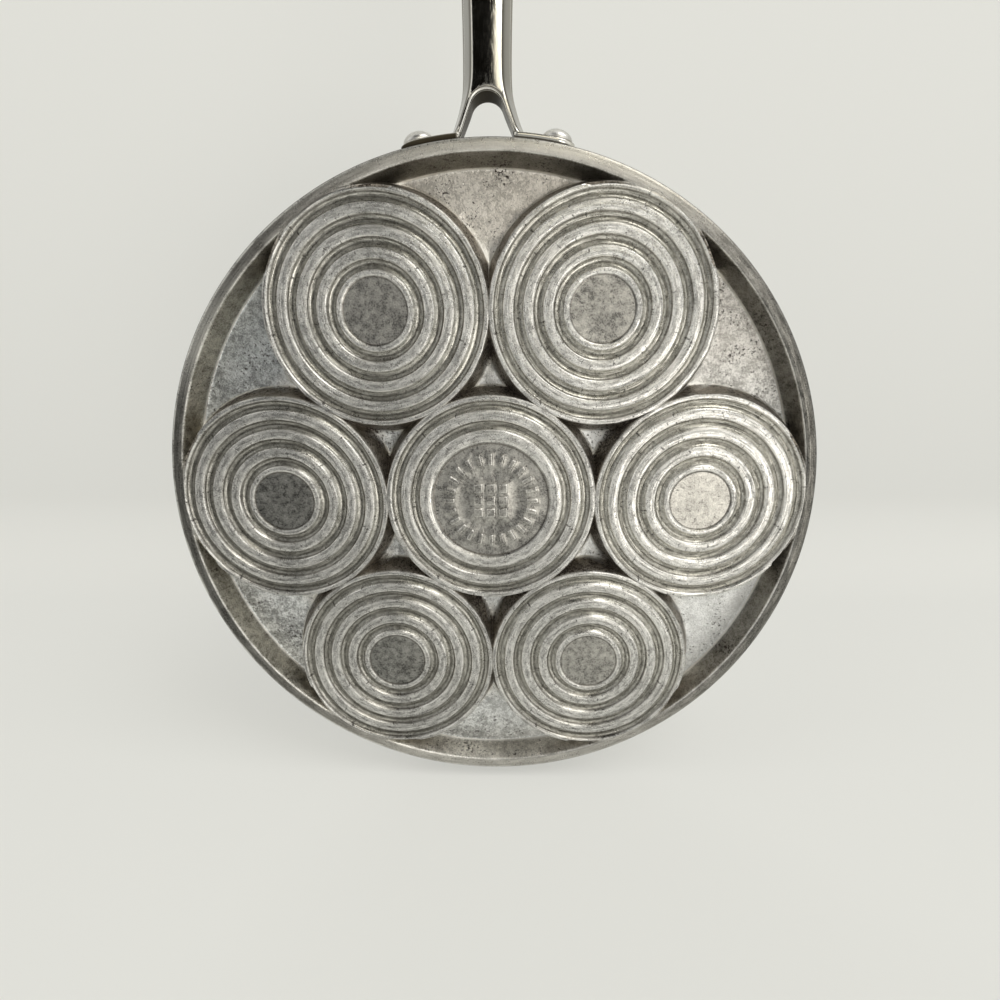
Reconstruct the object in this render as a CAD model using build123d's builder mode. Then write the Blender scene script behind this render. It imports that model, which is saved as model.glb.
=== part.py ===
from build123d import *
import math
import os

# Stovetop waffle pan, in millimetres
# The origin is the middle of the pan on the surface it stands on, +Z is up towards
# the cooking side, and the handle points along +Y.

# Rim of the pan
rim_margin = 3.0
rim_foot_width = 4.2
rim_draft = 7.0
rim_height = 21.0
rim_lip_width = 4.0
lip_lean = 1.2
skirt_draft = 15.0

# Plate that joins the seven pads
plate_underside = 10.9
plate_thickness = 4.5

# Pads under the wells, each touching the centre pad and its two neighbours
pad_radius = 43.5
pad_draft = 17.8
pad_count_around = 6

# Concentric grooves in a pad's underside: how far the middle of the outermost one is
# from the pad's edge, and the pitch from there inwards to the disc in the middle
groove_width = 4.2
groove_depth = 1.7
outer_pad_groove_inset = 3.6
outer_pad_groove_pitch = 7.67
centre_pad_groove_inset = 3.9
centre_pad_groove_pitch = 7.9
outer_pad_disc_radius = 13.1
outer_pad_disc_recess = 0.5
centre_pad_disc_radius = 25.2
centre_pad_disc_recess = 0.8

# Plain ornament in the centre pad's disc: a ring of bars around nine squares
bar_count = 24
bar_ring_radius = 17.5
bar_length = 4.6
bar_width = 1.7
square_side = 3.6
square_pitch = 5.2
squares_across = 3

# Wells on the cooking side, each with a grid of lugs
well_floor = 4.6
well_wall = 7.0
well_draft = 14.0
lug_pitch = 9.4
lug_base = 6.6
lug_draft = 11.0
lug_height = 5.4
lug_edge_gap = 0.6
lug_root = 0.5

# Handle: the sheet, and its ears on the rim
sheet = 2.0
ear_gap = 0.1
ear_bottom = 2.0
ear_height = 14.0
rivet_spread = 25.0

# Handle: its length, its climb away from the rim, and its section at the neck
handle_length = 199.5
handle_climb = 13.0
neck_reach = 16.5
neck_half_width = 5.5
neck_depth = 11.2
flank_slope = 0.36
crown_height = 1.6
belly_height = 0.7
seam_drop = 1.5

# Handle: how the legs spread to the rim, how the grip widens, and the flat end
leg_spread = 0.37
bend_softness = 4.0
climb_softness = 16.0
grip_reach = 135.0
grip_gain = 3.4
flat_length = 20.0
flat_depth = 4.6
flat_transition = 16.0
station_spacing = 8.0

# Handle: the arch between its two legs, and the hole to hang it by
arch_foot_reach = 1.5
arch_foot_half_width = 9.6
arch_shoulder_reach = 11.5
arch_shoulder_half_width = 5.7
arch_top_reach = 15.5
hole_radius = 4.0
hole_from_end = 11.0

# Rivets
rivet_radius = 2.5
rivet_depth = 5.0
rivet_clearance = 0.06
rivet_head_radius = 5.6
rivet_head_height = 3.7
rivet_head_seat = 0.14

# Small roundings, and how far a cutting form runs past what it cuts
rim_rounding = 0.7
lip_rounding = 1.4
past = 5.0

# Sizes that follow from the ones above
pad_spacing = pad_radius / math.sin(math.pi / pad_count_around)
rim_radius = pad_spacing + pad_radius + rim_margin
plate_top = plate_underside + plate_thickness
rim_slope = math.tan(math.radians(rim_draft))
pad_slope = math.tan(math.radians(pad_draft))
well_slope = math.tan(math.radians(well_draft))
rim_top_radius = rim_radius + rim_height * rim_slope
foot_radius = rim_radius - rim_foot_width
skirt_top_radius = foot_radius - plate_underside * math.tan(math.radians(skirt_draft))
lip_radius = rim_top_radius - rim_lip_width
pad_root = plate_underside + plate_thickness / 2
pad_root_radius = pad_radius + pad_root * pad_slope
well_floor_radius = pad_radius + well_floor * pad_slope - well_wall
well_depth = plate_top - well_floor
well_top_radius = well_floor_radius + well_depth * well_slope
ear_middle = ear_bottom + ear_height / 2
leg_gap = ear_gap + sheet / 2
neck_distance = rim_radius + neck_reach
grip_distance = neck_distance + grip_reach
handle_end = rim_radius + handle_length
arch_foot_distance = rim_radius + arch_foot_reach
arch_shoulder_distance = rim_radius + arch_shoulder_reach
arch_top_distance = rim_radius + arch_top_reach
hole_distance = handle_end - hole_from_end
hollow_start = arch_top_distance + sheet
hollow_end = handle_end - flat_length - flat_transition
end_radius = neck_half_width + grip_gain + (neck_depth - crown_height) * flank_slope
rivet_angle = math.degrees(math.asin(rivet_spread / (rim_radius + ear_middle * rim_slope)))


def wall_radius(height, offset=0.0):
    """Radius of the rim's outer wall at a height, moved outwards by an offset."""
    return rim_radius + height * rim_slope + offset


def around_and_centre():
    """Middles of the seven pads: the centre one, then the ring of six."""
    middles = [(0.0, 0.0)]
    for step in range(pad_count_around):
        turn = math.radians(360.0 / pad_count_around * step)
        middles.append((pad_spacing * math.cos(turn), pad_spacing * math.sin(turn)))
    return middles


pad_middles = around_and_centre()


def groove_cutter(inset, pitch, disc_radius):
    """Rings of round section that leave a pad's grooves, from its edge in to its disc."""
    round_radius = (groove_width ** 2 / 4 + groove_depth ** 2) / (2 * groove_depth)
    room = pad_radius - inset - groove_width / 2 - disc_radius
    radii = [pad_radius - inset - pitch * step for step in range(math.ceil(room / pitch))]
    with BuildPart() as cutter:
        with BuildSketch(Plane.XZ):
            for radius in radii:
                with Locations((radius, groove_depth - round_radius)):
                    Circle(round_radius)
        revolve(axis=Axis.Z)
    return cutter.part


def lug_middles():
    """Middles of the lugs of one well that stand whole inside its floor."""
    half_count = math.ceil(well_floor_radius / lug_pitch)
    reach = well_floor_radius - lug_edge_gap
    middles = []
    for column in range(-half_count, half_count + 1):
        for row in range(-half_count, half_count + 1):
            far_corner = math.hypot(abs(column) * lug_pitch + lug_base / 2,
                                    abs(row) * lug_pitch + lug_base / 2)
            if far_corner < reach:
                middles.append((column * lug_pitch, row * lug_pitch))
    return middles


def rivet_plane(side, offset):
    """Plane on the rim's wall at a rivet, its normal pointing out of the wall."""
    turn = math.radians(90.0 - side * rivet_angle)
    radius = wall_radius(ear_middle)
    tilt = math.radians(rim_draft)
    outward = Vector(math.cos(turn) * math.cos(tilt), math.sin(turn) * math.cos(tilt), -math.sin(tilt))
    foot = Vector(math.cos(turn) * radius, math.sin(turn) * radius, ear_middle)
    along = Vector(-math.sin(turn), math.cos(turn), 0)
    return Plane(origin=foot + outward * offset, x_dir=along, z_dir=outward)


# One well's lugs
with BuildPart() as lugs:
    with BuildSketch(Plane.XY.offset(well_floor - lug_root)):
        with Locations(lug_middles()):
            Rectangle(lug_base, lug_base)
    extrude(amount=lug_height + lug_root, taper=lug_draft)

# Pan body: rim and plate, the pads below, the wells above
with BuildPart() as pan_body:
    with BuildSketch(Plane.XZ):
        with BuildLine():
            Polyline(
                (0, plate_underside),
                (skirt_top_radius, plate_underside),
                (foot_radius, 0),
                (rim_radius, 0),
                (rim_top_radius, rim_height),
                (lip_radius, rim_height),
                (lip_radius - lip_lean, plate_top),
                (0, plate_top),
                close=True,
            )
        make_face()
    revolve(axis=Axis.Z)
    fillet(pan_body.edges().filter_by(GeomType.CIRCLE).group_by(Axis.Z)[-1], lip_rounding)
    fillet(pan_body.edges().filter_by(GeomType.CIRCLE).group_by(Axis.Z)[0], rim_rounding)
    with Locations([Location((x, y, 0)) for x, y in pad_middles]):
        Cone(pad_radius, pad_root_radius, pad_root, align=(Align.CENTER, Align.CENTER, Align.MIN))
    with Locations([Location((x, y, well_floor)) for x, y in pad_middles]):
        Cone(well_floor_radius, well_top_radius, well_depth,
             align=(Align.CENTER, Align.CENTER, Align.MIN), mode=Mode.SUBTRACT)
    with Locations([Location((x, y, 0)) for x, y in pad_middles]):
        add(lugs.part)
    with Locations([Location((x, y, 0)) for x, y in pad_middles[1:]]):
        add(groove_cutter(outer_pad_groove_inset, outer_pad_groove_pitch, outer_pad_disc_radius),
            mode=Mode.SUBTRACT)
        Cylinder(outer_pad_disc_radius, outer_pad_disc_recess,
                 align=(Align.CENTER, Align.CENTER, Align.MIN), mode=Mode.SUBTRACT)
    add(groove_cutter(centre_pad_groove_inset, centre_pad_groove_pitch, centre_pad_disc_radius),
        mode=Mode.SUBTRACT)
    with BuildSketch(Plane.XY):
        Circle(centre_pad_disc_radius)
        with PolarLocations(bar_ring_radius, bar_count):
            Rectangle(bar_length, bar_width, mode=Mode.SUBTRACT)
        with GridLocations(square_pitch, square_pitch, squares_across, squares_across):
            Rectangle(square_side, square_side, mode=Mode.SUBTRACT)
    extrude(amount=centre_pad_disc_recess, mode=Mode.SUBTRACT)
    for side in (-1, 1):
        with BuildSketch(rivet_plane(side, 0)):
            Circle(rivet_radius + rivet_clearance)
        extrude(amount=-rivet_depth, mode=Mode.SUBTRACT)


def soft_ramp(reach, softness):
    """Nought on one side and the reach on the other, with a soft bend between."""
    return (reach + math.hypot(reach, softness)) / 2


def smooth_step(share):
    """From nought to one, level at both ends."""
    held = min(max(share, 0.0), 1.0)
    return held * held * (3 - 2 * held)


def handle_sizes(distance):
    """Underside height, depth and half width below of the handle at a distance."""
    climb = math.tan(math.radians(handle_climb)) * soft_ramp(distance - neck_distance, climb_softness)
    legs = soft_ramp(neck_distance - distance, bend_softness)
    legs_share = min(legs / (neck_distance - rim_radius), 1.0)
    flat_share = smooth_step((distance - handle_end + flat_length + flat_transition) / flat_transition)
    depth = neck_depth + (ear_height - neck_depth) * legs_share
    depth = depth + (flat_depth - depth) * flat_share
    grip = grip_gain * smooth_step((distance - neck_distance) / (grip_distance - neck_distance))
    half_below = neck_half_width + leg_spread * legs + grip
    return ear_bottom + climb * (1 - legs_share), depth, half_below


def handle_section(distance, inset):
    """Closed section of the handle at a distance, drawn in by a thickness."""
    underside, depth, half_below = handle_sizes(distance)
    half_seam = half_below + (neck_depth - crown_height) * flank_slope
    low = underside + inset
    high = underside + depth - crown_height
    below = half_below - inset
    seam = half_seam - inset
    with BuildSketch(Plane(origin=(0, distance, 0), x_dir=(-1, 0, 0), z_dir=(0, 1, 0))) as section:
        with BuildLine():
            ThreePointArc((-below, low + belly_height), (0, low), (below, low + belly_height))
            Line((below, low + belly_height), (seam, high))
            ThreePointArc((seam, high), (0, high + crown_height - inset), (-seam, high))
            Line((-seam, high), (-below, low + belly_height))
        make_face()
    return section.sketch


def cover_section(distance):
    """Section of the space above the seam, wider and taller than the handle."""
    underside, depth, half_below = handle_sizes(distance)
    seam = underside + depth - crown_height - seam_drop
    width = 2 * (half_below + neck_depth * flank_slope + past)
    with BuildSketch(Plane(origin=(0, distance, seam), x_dir=(-1, 0, 0), z_dir=(0, 1, 0))) as section:
        Rectangle(width, seam_drop + crown_height + past, align=(Align.CENTER, Align.MIN))
    return section.sketch


def stations(start, end):
    """Even distances from one end of a run to the other, about a spacing apart."""
    count = math.ceil((end - start) / station_spacing)
    return [start + (end - start) * step / count for step in range(count + 1)]


# The handle's outer form, its hollow, and the space that the cover takes
with BuildPart() as outer_form:
    for distance in stations(rim_radius - past, handle_end):
        add(handle_section(distance, 0.0))
    loft(ruled=True)

with BuildPart() as hollow:
    for distance in stations(hollow_start, hollow_end):
        add(handle_section(distance, sheet))
    loft(ruled=True)

with BuildPart() as cover_space:
    for distance in stations(hollow_start, hollow_end):
        add(cover_section(distance))
    loft(ruled=True)

# The strip along the rim that becomes the two ears
with BuildPart() as ear_strip:
    with BuildSketch(Plane.XZ):
        with BuildLine():
            Polyline(
                (wall_radius(ear_bottom, ear_gap), ear_bottom),
                (wall_radius(ear_bottom, ear_gap + sheet), ear_bottom),
                (wall_radius(ear_bottom + ear_height, ear_gap + sheet), ear_bottom + ear_height),
                (wall_radius(ear_bottom + ear_height, ear_gap), ear_bottom + ear_height),
                close=True,
            )
        make_face()
    revolve(axis=Axis.Z)
    with BuildSketch(Plane(origin=(0, 0, ear_middle), x_dir=(-1, 0, 0), z_dir=(0, 1, 0))):
        SlotCenterToCenter(2 * rivet_spread, ear_height)
    extrude(amount=rim_top_radius + 2 * sheet, mode=Mode.INTERSECT)

# Lower shell of the handle: the channel, its two legs and their ears
with BuildPart() as handle_channel:
    add(outer_form.part)
    with BuildSketch(Plane.XY):
        with Locations((0, handle_end - end_radius)):
            Circle(end_radius)
            Rectangle(2 * (end_radius + past), handle_end, align=(Align.CENTER, Align.MAX))
    extrude(amount=handle_end, mode=Mode.INTERSECT)
    with BuildSketch(Plane.XZ):
        with BuildLine():
            Polyline(
                (0, -past), (wall_radius(-past, leg_gap), -past),
                (wall_radius(rim_height + past, leg_gap), rim_height + past), (0, rim_height + past),
                close=True,
            )
        make_face()
    revolve(axis=Axis.Z, mode=Mode.SUBTRACT)
    add(ear_strip.part)
    with BuildSketch(Plane.XY):
        with BuildLine():
            Polyline(
                (-arch_shoulder_half_width, arch_shoulder_distance),
                (-arch_foot_half_width, arch_foot_distance),
                (-arch_foot_half_width, rim_radius - past),
                (arch_foot_half_width, rim_radius - past),
                (arch_foot_half_width, arch_foot_distance),
                (arch_shoulder_half_width, arch_shoulder_distance),
            )
            ThreePointArc(
                (arch_shoulder_half_width, arch_shoulder_distance),
                (0, arch_top_distance),
                (-arch_shoulder_half_width, arch_shoulder_distance),
            )
        make_face()
    extrude(amount=rim_height + past, mode=Mode.SUBTRACT)
    add(hollow.part, mode=Mode.SUBTRACT)
    add(cover_space.part, mode=Mode.SUBTRACT)
    for side in (-1, 1):
        with BuildSketch(rivet_plane(side, 0)):
            Circle(rivet_radius + rivet_clearance)
        extrude(amount=2 * sheet, mode=Mode.SUBTRACT)
    hole_low = handle_sizes(hole_distance)[0]
    hole_tilt = math.radians(handle_climb)
    hole_plane = Plane(
        origin=(0, hole_distance, hole_low + flat_depth / 2),
        x_dir=(1, 0, 0),
        z_dir=(0, -math.sin(hole_tilt), math.cos(hole_tilt)),
    )
    with BuildSketch(hole_plane):
        Circle(hole_radius)
    extrude(amount=2 * flat_depth, both=True, mode=Mode.SUBTRACT)

# Upper shell of the handle: the cover over the channel
with BuildPart() as handle_cover:
    add(outer_form.part)
    add(cover_space.part, mode=Mode.INTERSECT)
    add(hollow.part, mode=Mode.SUBTRACT)


def rivet(side):
    """Rivet with a domed head on the ear and its shank in the rim's blind hole."""
    seat = rivet_plane(side, ear_gap + sheet)
    face = Plane(origin=seat.origin, x_dir=seat.x_dir, z_dir=seat.x_dir.cross(seat.z_dir))
    shank_end = -(ear_gap + sheet + rivet_depth - rivet_clearance)
    rise = rivet_head_height - rivet_head_seat
    dome_radius = (rivet_head_radius ** 2 + rise ** 2) / (2 * rise)
    dome_turn = math.degrees(math.acos((dome_radius - rise) / dome_radius))
    with BuildPart() as made:
        with BuildSketch(face):
            with BuildLine():
                Polyline(
                    (0, rivet_head_height), (0, shank_end), (rivet_radius, shank_end),
                    (rivet_radius, rivet_head_seat), (rivet_head_radius, rivet_head_seat),
                )
                CenterArc((0, rivet_head_height - dome_radius), dome_radius, 90 - dome_turn, dome_turn)
            make_face()
        revolve(axis=Axis(seat.origin, seat.z_dir))
    return made.part


rivet_left = rivet(-1)
rivet_right = rivet(1)

os.makedirs("parts", exist_ok=True)
pieces = {
    "pan_body": pan_body.part,
    "handle_channel": handle_channel.part,
    "handle_cover": handle_cover.part,
    "rivet_left": rivet_left,
    "rivet_right": rivet_right,
}
for name, piece in pieces.items():
    piece.label = name
    export_step(piece, "parts/" + name + ".step")
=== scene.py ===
# %% [markdown]
# # A stovetop waffle pan, seen from below
# The pan is one aluminium casting with seven round wells on the cooking side. Under each
# well sits a pad with turned rings, and a hollow steel handle is riveted to the rim. The
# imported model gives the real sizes. Here each piece gets a modelled surface and a finish.

# %% Load the frame
import math

import bmesh
import bpy
import numpy as np
from mathutils import Matrix, Vector
from mathutils.geometry import delaunay_2d_cdt


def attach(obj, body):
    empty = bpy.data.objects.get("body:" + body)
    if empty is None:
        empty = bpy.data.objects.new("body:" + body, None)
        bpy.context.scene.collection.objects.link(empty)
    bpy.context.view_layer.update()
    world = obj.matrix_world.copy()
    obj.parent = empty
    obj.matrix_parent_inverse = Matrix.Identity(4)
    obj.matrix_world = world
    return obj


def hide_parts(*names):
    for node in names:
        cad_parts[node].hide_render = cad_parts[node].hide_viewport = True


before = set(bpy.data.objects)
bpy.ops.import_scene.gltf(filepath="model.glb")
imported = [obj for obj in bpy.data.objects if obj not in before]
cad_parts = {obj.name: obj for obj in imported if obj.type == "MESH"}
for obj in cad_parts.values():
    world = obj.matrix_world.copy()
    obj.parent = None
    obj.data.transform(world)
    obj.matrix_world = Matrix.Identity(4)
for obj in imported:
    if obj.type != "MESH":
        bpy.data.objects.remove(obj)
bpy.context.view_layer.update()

print("nodes", sorted(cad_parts))

# %% [markdown]
# ## Camera
# The photograph was taken close up with a wide lens, from a little above the pan's middle.
# A close camera makes the handle look large and the far side of the rim small, so the
# place and the lens matter more than any single shape. Its matrix has the directions to
# the right, up and backwards as columns, and its place as the last one.

# %% Camera
MM = 0.001
RIGHT = Vector((-0.999783, -0.006434, 0.019831))
UP = Vector((-0.001055, 0.965574, 0.260124))
FORWARD = Vector((0.020822, -0.260047, 0.965372))
CAMERA_PLACE = Vector((-8.435, 57.736, -212.309)) * MM


def add_object(name, data):
    """An object of the scene with its data."""
    made = bpy.data.objects.new(name, data)
    bpy.context.scene.collection.objects.link(made)
    return made


camera_data = bpy.data.cameras.new("camera")
camera_data.lens = 18.963
camera_data.sensor_width = 36.0
camera_data.clip_start = 0.01
camera = add_object("camera", camera_data)
camera.matrix_world = Matrix((RIGHT, UP, -FORWARD)).transposed().to_4x4()
camera.location = CAMERA_PLACE
bpy.context.scene.camera = camera
print("camera", [round(value / MM, 1) for value in camera.location])

# %% [markdown]
# ## Units and small tools
# Sizes are written in millimetres, as a maker would say them, and the mesh is turned into
# metres once, when it is handed to Blender. A surface is a grid of points: rows run along
# the piece and columns across it. Working on whole arrays keeps the shape in one formula
# and makes thousands of points in one step.

# %% Grids and soft corners
def grid_faces(rows, columns, around=False):
    """Corners of every square of a grid, whose columns may close into a ring."""
    row = np.arange(rows - 1)[:, None]
    column = np.arange(columns if around else columns - 1)[None, :]
    right = (column + 1) % columns
    corners = [row * columns + column, row * columns + right,
               (row + 1) * columns + right, (row + 1) * columns + column]
    shape = (rows - 1, column.size)
    return np.stack([np.broadcast_to(corner, shape) for corner in corners], -1).reshape(-1, 4)


def soft_highest(one, other, softness):
    """The higher of two heights with a fillet.

    It is half of their sum plus the root of the squared gap plus the squared softness.
    """
    return (one + other + np.sqrt((one - other) ** 2 + softness ** 2)) / 2


def soft_lowest(heights, softness):
    """Lowest height with a fillet: the lowest, less softness times the log of summed exponentials."""
    low = heights.min(axis=0)
    return low - softness * np.log(np.exp((low - heights) / softness).sum(axis=0))


def smooth_step(value):
    """Nought to one with level ends: three times the square less twice the cube."""
    value = np.clip(value, 0.0, 1.0)
    return value * value * (3 - 2 * value)


def unit(turns):
    """Cosine and sine of each turn, which is its point on the unit circle."""
    return np.stack([np.cos(turns), np.sin(turns)], -1)


def spin(turn):
    """Matrix of cosine and sine that turns points of a plan when it stands after them."""
    cosine, sine = math.cos(turn), math.sin(turn)
    return np.array([[cosine, sine], [-sine, cosine]])


print("a grid of three rows of four points has", len(grid_faces(3, 4)), "squares")

# %% [markdown]
# ## Lines with rounded corners
# A turned profile is drawn as a few corners and the radius of each. The arc at a corner is
# a quadratic curve whose corner weighs as much as the cosine of half the turn, which makes
# it a true circle.

# %% Rounded line
def rounded_line(corners, radii, steps=5):
    """A line through corners, each cut by an arc between the points a radius's tangent away."""
    corners = np.array(corners, float)
    parts = [corners[:1]]
    for before, corner, after, radius in zip(corners, corners[1:], corners[2:], radii):
        inward = (before - corner) / np.linalg.norm(before - corner)
        outward = (after - corner) / np.linalg.norm(after - corner)
        half_turn = math.acos(np.clip(-inward @ outward, -1, 1)) / 2
        reach = radius * math.tan(half_turn)
        share = np.linspace(0, 1, steps)[:, None]
        first, last = (1 - share) ** 2, share ** 2
        middle = 2 * math.cos(half_turn) * share * (1 - share)
        arc = first * (corner + inward * reach) + middle * corner + last * (corner + outward * reach)
        parts.append(arc / (first + middle + last))
    return np.concatenate(parts + [corners[-1:]])


print("points of a square corner", len(rounded_line([(0, 0), (1, 0), (1, 1)], [0.2])))

# %% [markdown]
# ## Skins
# Each piece is one skin made of patches. A patch brings its points, its faces and its
# masks, which are values on the points that the finish reads later. Points that lie on one
# another are welded, and the open edges are counted, because a closed skin has none.

# %% Skin
WELD = 0.002


class Skin:
    """Gathers patches of points, faces and named masks, and makes one welded mesh of them."""

    def __init__(self, masks):
        self.points, self.faces, self.masks, self.count = [], [], {name: [] for name in masks}, 0

    def add(self, points, faces=None, around=False, **masks):
        """A patch with its faces, which are those of its grid if none are given; masks fit the grid."""
        if faces is None:
            faces = grid_faces(*points.shape[:2], around)
        self.points.append(points.reshape(-1, 3))
        self.faces.extend((np.asarray(face) + self.count).tolist() for face in faces)
        for name, parts in self.masks.items():
            parts.append(np.broadcast_to(masks.get(name, 0.0), points.shape[:-1]).ravel())
        self.count += len(self.points[-1])

    def close(self, loop, pole, **masks):
        """A fan of triangles from a closed loop of points to its pole."""
        ids = np.arange(len(loop))
        fan = np.stack([ids, np.roll(ids, -1), np.full(len(ids), len(ids))], -1)
        self.add(np.vstack([loop, pole]), fan, **masks)

    def finish(self, name, material):
        """The welded mesh as an object of the scene."""
        mesh = bpy.data.meshes.new(name)
        mesh.from_pydata((np.concatenate(self.points) * MM).tolist(), [], self.faces)
        for mask, parts in self.masks.items():
            layer = mesh.attributes.new(mask, "FLOAT", "POINT")
            layer.data.foreach_set("value", np.concatenate(parts).astype(np.float32))
        form = bmesh.new()
        form.from_mesh(mesh)
        bmesh.ops.remove_doubles(form, verts=form.verts, dist=WELD * MM)
        bmesh.ops.recalc_face_normals(form, faces=form.faces)
        open_edges = sum(1 for edge in form.edges if len(edge.link_faces) != 2)
        form.to_mesh(mesh)
        form.free()
        mesh.shade_smooth()
        mesh.materials.append(material)
        triangles = sum(len(face.vertices) - 2 for face in mesh.polygons)
        print(name, "triangles", triangles, "open edges", open_edges)
        return add_object(name, mesh)


MASKS = ("groove", "disc", "edge", "corner", "wall", "floor", "cook", "around_x", "around_y", "ring")
casting = Skin(MASKS)
print("masks of the casting", MASKS)

# %% [markdown]
# ## Sizes of the casting
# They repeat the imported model's own: a rim with a foot ring that stands on the hob, a
# plate inside it, and seven pads a pad's width apart, so that neighbours just touch.

# %% Casting sizes
PAD_RADIUS = 43.5
PAD_SPACING = 2 * PAD_RADIUS
PAD_SLOPE = math.tan(math.radians(17.8))
PLATE_UNDER, PLATE_TOP = 10.9, 15.4
FOOT_INNER, FOOT_OUTER = 129.3, 133.5
SKIRT_SLOPE = math.tan(math.radians(15.0))
RIM_SLOPE = math.tan(math.radians(7.0))
RIM_HEIGHT = 21.0
LIP_WIDTH, LIP_LEAN = 4.0, 1.2
RIM_TOP = FOOT_OUTER + RIM_HEIGHT * RIM_SLOPE
SIXTH = math.pi / 3

pad_turns = [None] + [SIXTH * step for step in range(6)]
pad_middles = np.array([(0.0, 0.0)] + [
    (PAD_SPACING * math.cos(turn), PAD_SPACING * math.sin(turn)) for turn in pad_turns[1:]])
print("pads", len(pad_middles), "rim across", round(2 * RIM_TOP, 1), "mm")

# %% [markdown]
# ## The underside as one height
# Between the pads the surface is the lowest of several slopes: each pad's conical wall, the
# flat floor and the rim's skirt. Taking a soft lowest instead of the sharp one gives every
# corner the fillet of a sand casting. The land that stands on the hob is a soft highest of
# that and the ground level, with a slight crown on the foot ring.

# %% Height of the underside
FLOOR_FILLET, LAND_EDGE = 0.75, 0.3
FOOT_CROWN, FOOT_HALF, NEAR_FOOT = 0.35, 2.1, 6.0
MASK_RISE, FLOOR_START = 1.2, 9.3


def under_height(x, y):
    """Height and, from nought to one, closeness to a corner of two slopes and to the land's edge."""
    far = np.hypot(x, y)
    walls = [(np.hypot(x - mx, y - my) - PAD_RADIUS) / PAD_SLOPE for mx, my in pad_middles]
    slopes = np.stack(walls + [(FOOT_INNER - far) / SKIRT_SLOPE, np.full_like(far, PLATE_UNDER)])
    valley = soft_lowest(slopes, FLOOR_FILLET)
    crown = FOOT_CROWN * ((far - (FOOT_INNER + FOOT_OUTER) / 2) / FOOT_HALF) ** 2
    ground = np.where(far > FOOT_INNER - NEAR_FOOT, np.minimum(crown, 2.0), 0.0)
    height = soft_highest(valley, ground, LAND_EDGE)
    corner = np.clip((slopes.min(axis=0) - valley) / (FLOOR_FILLET * math.log(2)), 0, 1)
    edge = np.clip(2 * (height - np.maximum(valley, ground)) / LAND_EDGE, 0, 1)
    return height, corner, edge


def height_masks(height):
    """Masks that follow the height: a wall starts at the land, a floor just below the plate."""
    return dict(wall=smooth_step(height / MASK_RISE), floor=smooth_step((height - FLOOR_START) / MASK_RISE))


def best_diagonals(points):
    """Squares of a closed grid, each split along the diagonal whose middle is nearer to the height there."""
    faces, points = grid_faces(*points.shape[:2], around=True), points.reshape(-1, 3)
    a, b, c, d = (points[faces[:, k]] for k in range(4))
    miss_ac = np.abs(under_height(*((a + c) / 2)[:, :2].T)[0] - (a + c)[:, 2] / 2)
    miss_bd = np.abs(under_height(*((b + d) / 2)[:, :2].T)[0] - (b + d)[:, 2] / 2)
    first = np.where((miss_ac <= miss_bd)[:, None], faces[:, [0, 1, 2]], faces[:, [0, 1, 3]])
    second = np.where((miss_ac <= miss_bd)[:, None], faces[:, [0, 2, 3]], faces[:, [1, 2, 3]])
    return np.concatenate([first, second])


print("floor", round(float(under_height(np.array([75.0]), np.array([43.3]))[0][0]), 2), "mm up")

# %% [markdown]
# ## Points where the surface bends
# A line needs more points where it bends. Each bit of it costs its length and a share of
# its turning, and the points are put at equal steps of the summed cost. All lines are
# solved in one interpolation, laid end to end and each shifted by its number.

# %% Even places
BEND, INNER_BEND, SPREAD = 9.0, 5.0, 60.0


def even_places(places, heights, steps, bend_weight, spread=0.0):
    """Places at equal steps of length plus the weighted turning and the angle seen from the pad."""
    across, up = np.diff(places, axis=0), np.diff(heights, axis=0)
    angle = np.arctan2(up, across)
    weight = np.hypot(across, up) + bend_weight * np.abs(np.diff(angle, axis=0, prepend=angle[:1]))
    weight = (np.roll(weight, 1, axis=1) + 2 * weight + np.roll(weight, -1, axis=1)) / 4
    weight = weight + spread * np.abs(np.diff(np.arctan2(places, PAD_RADIUS), axis=0))
    cost = np.concatenate([np.zeros_like(places[:1]), np.cumsum(weight, axis=0)])
    cost = cost / cost[-1]
    columns = places.shape[1]
    wanted = np.linspace(0, 1, steps + 1)[:, None] * np.ones((1, columns))
    shift = np.arange(columns)[:, None] * 2.0
    found = np.interp((wanted.T + shift).ravel(), (cost.T + shift).ravel(), places.T.ravel())
    found = found.reshape(columns, steps + 1).T
    found[0], found[-1] = places[0], places[-1]
    return found


slope = np.linspace(0, 1, 9)[:, None]
print("even places on a straight line", even_places(slope, 0 * slope, 4, BEND)[:, 0].round(2))

# %% [markdown]
# ## One cell for each pad
# A mesh of rings follows turned work best, so each pad gets rings around its own middle.
# The rays stop where the next pad's cell begins, half way between the two middles, or just
# past the pad's own edge near the rim, which leaves the skirt to the rim's rings. They
# stand closer where the pads' walls run into that skirt. Neighbours place the same points
# along their common edge, so the seven cells weld into one skin.

# %% Rays of a cell
ARC_STEPS, SIDE_STEPS, INNER_STEPS = 50, 28, 20
CLOSER, CLOSER_AT, CLOSER_HALF = 1.3, 11, 5.5
PAST_PAD, LEAST_REACH, COOK_REACH = 0.35, 125.0, 129.6
arc_fine = np.linspace(-SIXTH / 2, SIXTH / 2, 1201)
arc_weight = 1 + CLOSER * np.exp(-((np.abs(np.degrees(arc_fine)) - CLOSER_AT) / CLOSER_HALF) ** 4)
arc_cost = np.cumsum(arc_weight) - arc_weight[0]
arc = np.interp(np.arange(ARC_STEPS) / ARC_STEPS * arc_cost[-1], arc_cost, arc_fine)
beyond_pad = np.sqrt((PAD_RADIUS + PAST_PAD) ** 2 - (PAD_SPACING * np.sin(arc)) ** 2)
UNDER_EDGE = np.maximum(PAD_SPACING * np.cos(arc) + beyond_pad, LEAST_REACH)
COOK_EDGE = np.full(ARC_STEPS, COOK_REACH)
LEVEL_CORNER = PAD_RADIUS * math.tan(SIXTH / 2)
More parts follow.
